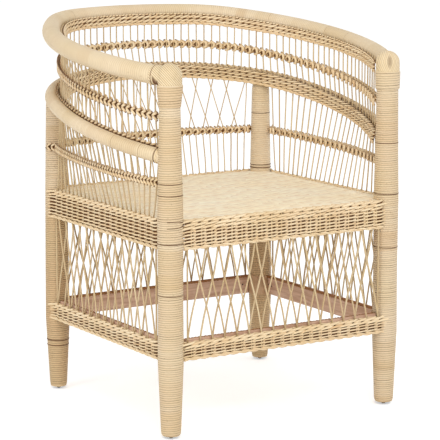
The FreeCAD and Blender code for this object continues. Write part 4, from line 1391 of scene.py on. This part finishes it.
def bandLine(name):
    (x, y), (stepX, stepY), span, _, _ = bandSides[name]
    out = (stepY, -stepX, 0)
    return RowLine([(x, y, 0), (x + stepX * span, y + stepY * span, 0)], [out] * 2, [(0, 0, 1)] * 2)


def buildBand(kind, name, low, high):
    line = bandLine(name)
    reaches, over = bandSides[name][4], twineChoice["over"][kind][name]
    begin, end = reaches[0], line.length - reaches[1]
    first, last = begin - over[0], end + over[1]
    source = random.Random(kind + name)
    mesh, shade, stakes = StrandMesh(), StrandMesh(), StrandMesh()
    middle, layer, ropeHeight = chair["bandMiddle"], twineChoice["layer"], twineChoice["ropeHeight"]
    if kind == "seat":
        rows = twineChoice["rows"]["seatFront" if name == "front" else "seatSide"]
    else:
        rows = twineChoice["rows"][kind]
    dashes, borders, borderHeight, strand, swing, stake = rows
    stitch = dict(twineChoice["stitch"], radius=strand, swing=swing)
    postRadius = twineChoice["postRadius"][kind]

    def outside(distances):
        # The outer strands lie on the posts where they pass over them
        near = np.minimum(distances, line.length - distances)
        return np.maximum(middle + layer, np.sqrt(np.clip(postRadius ** 2 - near ** 2, 0, None)))

    def twine(choice, height, outerBegin, outerEnd):
        # The same row outside and inside
        stitches(mesh, line, outerBegin, outerEnd, choice, source, height, outside)
        inner = dict(choice, bulge=-choice["bulge"])
        stitches(mesh, line, begin, end, inner, source, height, middle - layer, -1)

    rope(mesh, line, first, last, twineChoice["rope"], source, low + ropeHeight / 2, outside)
    rowSpace = (high - low - ropeHeight - borders * borderHeight) / dashes
    for row in range(dashes):
        twine(stitch, low + ropeHeight + (row + 0.5) * rowSpace, first, last)
    for row in range(borders):
        shift = twineChoice["borderShift"] * (row % 2)
        left, right = (shift + reach for reach in twineChoice["borderReach"])
        twine(twineChoice["border"], high - (row + 0.5) * borderHeight, first + left, last + right)
    mesh.become(kind + "Band_" + name, "twistedStrand", "woven_band", [kind + "_band_" + name])
    inset, sunk = twineChoice["shadeInset"], twineChoice["shadeSunk"]
    left, right = first + min(over[0], inset), last - min(over[1], inset)
    thick = twineChoice["shadeThick"]
    backing(shade, line, left, right, low + inset, high - inset, lambda d: outside(d) - sunk, thick, 0.004)
    shade.become(kind + "BandShade_" + name, "innerShade", "woven_band")
    count = max(1, round((end - begin) / stitch["pitch"]))
    inset, depth = twineChoice["stakeInset"], middle + twineChoice["stakeDepth"]
    for i in range(count):
        distance = begin + (i + 0.5) * (end - begin) / count
        places = line.at(np.full(3, distance), np.array([low + inset, (low + high) / 2, high - inset]), depth)
        stakes.tube(places, line.outs[0], stake, 8, 1, source.uniform(0.1, 0.6))
    stakes.become(kind + "Stakes_" + name, "paleCane", "cane")


crossChoice = {"room": 0.031, "layer": 0.00175, "sway": 0.045, "intoBand": 0.003, "bow": 0.001, "stations": 9}


def buildLowerCanes(name):
    line = bandLine(name)
    _, _, span, pairs, _ = bandSides[name]
    room, layer, into, bend = (crossChoice[key] for key in ("room", "layer", "intoBand", "bow"))
    spacing = (span - 2 * room) / pairs
    bottom, top = chair["stretcherTop"], chair["seatBandBottom"]
    shares = np.linspace(0, 1, crossChoice["stations"])
    mesh = StrandMesh()
    source = random.Random("lower canes " + name)

    def leaning(low, high, shift):
        sway = shares - np.sin(2 * np.pi * shares) * crossChoice["sway"]
        distances = room + (low + (high - low) * sway + 0.5) * spacing
        heights = bottom - into + (top - bottom + 2 * into) * shares
        bow = np.sin(np.pi * shares) * source.uniform(-bend, bend)
        places = line.at(distances + bow, heights, chair["bandMiddle"] + shift)
        tone = drawTone(source, caneChoice["tone"], 0.18)
        mesh.tube(places, line.outs[0], caneChoice["lowRadius"] * source.uniform(0.92, 1.08), 8, 1, tone)

    last = pairs - 1
    leaning(-0.5, -0.5, 0)
    leaning(last + 0.5, last + 0.5, 0)
    for high in range(last):
        low = high + 1.5
        leaning(low, high, layer)
        leaning(last - low, last - high, -layer)
    mesh.become("lowerCanes_" + name, "paleCane", "cane", ["lower_canes_" + name])


for name in bandSides:
    buildBand("seat", name, chair["seatBandBottom"], chair["seatBandTop"])
    buildBand("stretcher", name, chair["stretcherBottom"], chair["stretcherTop"])
    buildLowerCanes(name)
print("bands woven")


# Angles are in degrees round the post; half and end are half the thickness on the post and at the end
tieChoice = {
    "heights": (0.4590, 0.4460), "meet": 0.4545, "from": -135, "to": -24, "radius": 0.0272,
    "half": 0.0006, "end": 0.0020,
}


def buildTies():
    # Two dark ties that hold the front band to the left post
    mesh = StrandMesh()
    shares = np.linspace(0, 1, 15)
    half = tieChoice["half"] + (tieChoice["end"] - tieChoice["half"]) * np.clip((shares - 0.5) * 2, 0, 1)
    outs = around(np.radians(tieChoice["from"] + (tieChoice["to"] - tieChoice["from"]) * shares))
    for height in tieChoice["heights"]:
        places = outs * tieChoice["radius"] + (*postPlaces["front_left"], height)
        places[:, 2] += (tieChoice["meet"] - height) * shares ** 3
        mesh.tube(places, outs, half, 6, 1, 0.9, 0.95)
    mesh.become("bandTies", "woundPeel", "wound_peel")


buildTies()


# Seat

seatChoice = {
    "strand": 0.0064, "stake": 0.025, "wave": 0.0012, "ridge": 0.0007, "thickness": 0.006, "grid": (150, 316),
    "drift": 0.0011, "driftWaves": (7, 9), "phase": 0.25, "sag": 0.002, "strandTone": 0.7, "stitchTone": 0.22,
    "gap": 1.2, "gapOnTop": 0.34, "gapByWave": 0.4,
}


def buildSeat():
    low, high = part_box("seat_panel")
    width, depth, middleY = high.x - low.x, high.y - low.y, (low.y + high.y) / 2
    across, along = seatChoice["grid"]
    centre = ((low.x + high.x) / 2, middleY, high.z - seatChoice["wave"])
    bpy.ops.mesh.primitive_grid_add(x_subdivisions=across, y_subdivisions=along, size=1, location=centre)
    seat = bpy.context.object
    seat.name = seat.data.name = "wovenSeat"
    bpy.ops.transform.resize(value=(width, depth, 1))
    bpy.ops.object.transform_apply(location=True, rotation=True, scale=True)
    source = random.Random("seat")
    points = readPoints(seat.data)
    x, y = points[:, 0], points[:, 1]
    stray = [source.uniform(-1, 1) for _ in range(6)]
    first, more = seatChoice["driftWaves"]
    drift = sum(np.sin(x * (first + more * i) + stray[i] * 6) / (i + 1) for i in range(4))
    rows = (y + drift * seatChoice["drift"]) / seatChoice["strand"]
    index = np.floor(rows).astype(int)
    share = rows - np.floor(rows)
    phase = seatChoice["phase"]
    phases = np.array([source.uniform(-phase, phase) for _ in range(400)])
    waves = np.sin(np.pi * (x / seatChoice["stake"] + index + phases[index % 400]))
    ridge = 1 - np.abs(2 * share - 1) ** 2.5
    height = seatChoice["ridge"] * (ridge - 1) + seatChoice["wave"] * (waves - 1) / 2 * ridge
    sag = -seatChoice["sag"] * np.cos(np.pi * x / width) * np.cos(np.pi * (y - middleY) / depth)
    points[:, 2] += height + sag + seatChoice["wave"]
    seat.data.vertices.foreach_set("co", points.ravel())
    tones = np.array([source.betavariate(2, 4) * seatChoice["strandTone"] for _ in range(400)])
    stakeIndex = np.floor(x / seatChoice["stake"] + (index % 2) * 0.5).astype(int)
    # A number that changes from stitch to stitch without order
    scattered = np.sin(stakeIndex * 12.9898 + index * 78.233)
    tone = np.clip(tones[index % 400] + seatChoice["stitchTone"] * scattered, 0, 1)
    # Painted shade between the rows, deeper where a strand dips
    gap = np.clip((np.abs(2 * share - 1) - 0.5) / 0.5, 0, 1)
    gap = gap * np.clip(seatChoice["gapOnTop"] - seatChoice["gapByWave"] * waves, 0, 1)
    markStrands(seat.data, np.stack([x + index * 0.37, share], axis=-1), tone, gap * seatChoice["gap"])
    solid = seat.modifiers.new("thickness", "SOLIDIFY")
    solid.thickness = seatChoice["thickness"]
    solid.offset = -1
    bpy.ops.object.modifier_apply(modifier=solid.name)
    bpy.ops.object.shade_smooth()
    seat.select_set(False)
    dress(seat, "seatStrand", ["seat_panel"])


buildSeat()
print("seat woven")


# Boards, poles and fittings

boardEdges = {"lath": 0.0014, "seatSlat": 0.001}


def buildBoard(kind, name, node):
    low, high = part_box(node)
    bpy.ops.mesh.primitive_cube_add(size=1, location=(low + high) / 2)
    board = bpy.context.object
    board.name = board.data.name = f"{kind}_{name}"
    board.scale = high - low
    bpy.ops.object.transform_apply(location=True, rotation=True, scale=True)
    bpy.ops.object.mode_set(mode="EDIT")
    bpy.ops.mesh.select_all(action="SELECT")
    bpy.ops.mesh.bevel(offset=boardEdges[kind], segments=3, profile=0.5)
    bpy.ops.object.mode_set(mode="OBJECT")
    bpy.ops.object.shade_smooth_by_angle(angle=math.radians(40))
    board.select_set(False)
    dress(board, "brownBoard", [node])


trimChoice = {
    "stitch": {
        "pitch": 0.0080, "length": 0.0105, "rise": 0.0034, "radius": 0.0025, "bulge": -0.0008, "taper": 0.4,
        "tone": 0.5,
    },
    # Shift along the board and depth of each run of binding
    "runs": ((0.0, 0.0), (0.004, 0.0022)), "inset": 0.028, "underTop": 0.0022,
    "nails": (0.034, 0.048), "nailRadius": 0.0019, "nailDepths": (0.0010, -0.0006, -0.0012),
    "nailStray": 0.001,
}


def buildTrim():
    # Binding along each board's top, painted dark brown as strands in shade, and nails near its ends
    source = random.Random("board trim")
    nails = StrandMesh()
    inset, stray = trimChoice["inset"], trimChoice["nailStray"]
    for name in bandSides:
        low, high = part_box("stretcher_lath_" + name)
        line = bandLine(name)
        out = Vector(line.outs[0])
        inner = min(out.dot(Vector(low)), out.dot(Vector(high))) - out.dot(Vector((*bandSides[name][0], 0)))
        mesh = StrandMesh()
        top = high.z - trimChoice["underTop"]
        for shift, depth in trimChoice["runs"]:
            begin, end = inset + shift, line.length - inset
            stitches(mesh, line, begin, end, trimChoice["stitch"], source, top, inner + depth)
        mesh.become("boardBinding_" + name, "paintedShadeBinding", "lath")
        for distance in trimChoice["nails"]:
            for place in (distance, line.length - distance):
                height = (low.z + high.z) / 2 + source.uniform(-stray, stray)
                spots = line.at(np.full(3, place), height, inner + np.array(trimChoice["nailDepths"]))
                nails.tube(spots, line.ups[0], trimChoice["nailRadius"] * np.array([1, 1, 0.5]), 10)
    nails.become("boardNails", "nailSteel", "lath")


for name in bandSides:
    buildBoard("lath", name, "stretcher_lath_" + name)
for number in (1, 2, 3):
    buildBoard("seatSlat", number, f"seat_slat_{number}")
buildTrim()
print("boards cut")

# Nodes that keep their own shape get their finish here
keptFinishes = {
    "foot_glide": "gliderPlastic", "seat_rail": "polePeel", "stretcher_straps": "strapPeel",
    "post_core": "polePeel",
}
for nodeName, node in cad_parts.items():
    for begins, finish in keptFinishes.items():
        if nodeName.startswith(begins):
            for slotPlace in node.material_slots:
                slotPlace.material = materials[finish]
print("kept nodes finished")


# Floor and surroundings

floorChoice = {
    "size": 60, "colour": (0.92, 0.92, 0.92, 1), "rough": 0.9, "gloss": 0.1, "lift": 0.42, "sky": 0.66,
}


def seenShare(tree):
    # 1 where the camera sees it, straight or in a reflection
    path = addNode(tree, "ShaderNodeLightPath").outputs
    return mathNode(tree, "ADD", path["Is Camera Ray"], path["Is Glossy Ray"], True)


def buildFloor():
    bpy.ops.mesh.primitive_plane_add(size=floorChoice["size"], location=(0, 0, 0))
    floor = bpy.context.object
    floor.name = floor.data.name = "studioFloor"
    material, tree, shader = startMaterial("studioFloor")
    fill(tree, shader, {
        "Base Color": floorChoice["colour"],
        "Roughness": floorChoice["rough"],
        "Specular IOR Level": floorChoice["gloss"],
        "Emission Color": (1, 1, 1, 1),
        "Emission Strength": mathNode(tree, "MULTIPLY", seenShare(tree), floorChoice["lift"]),
    })
    floor.data.materials.append(material)


def buildSky():
    world = bpy.data.worlds.new("studioSky")
    bpy.context.scene.world = world
    world.use_nodes = True
    tree = world.node_tree
    strength = mapRange(tree, seenShare(tree), 0.0, 1.0, floorChoice["sky"], 1.0)
    fill(tree, tree.nodes["Background"], {"Color": (1, 1, 1, 1), "Strength": strength})


buildFloor()
buildSky()
bpy.context.scene.view_settings.view_transform = "Standard"
print("floor laid")
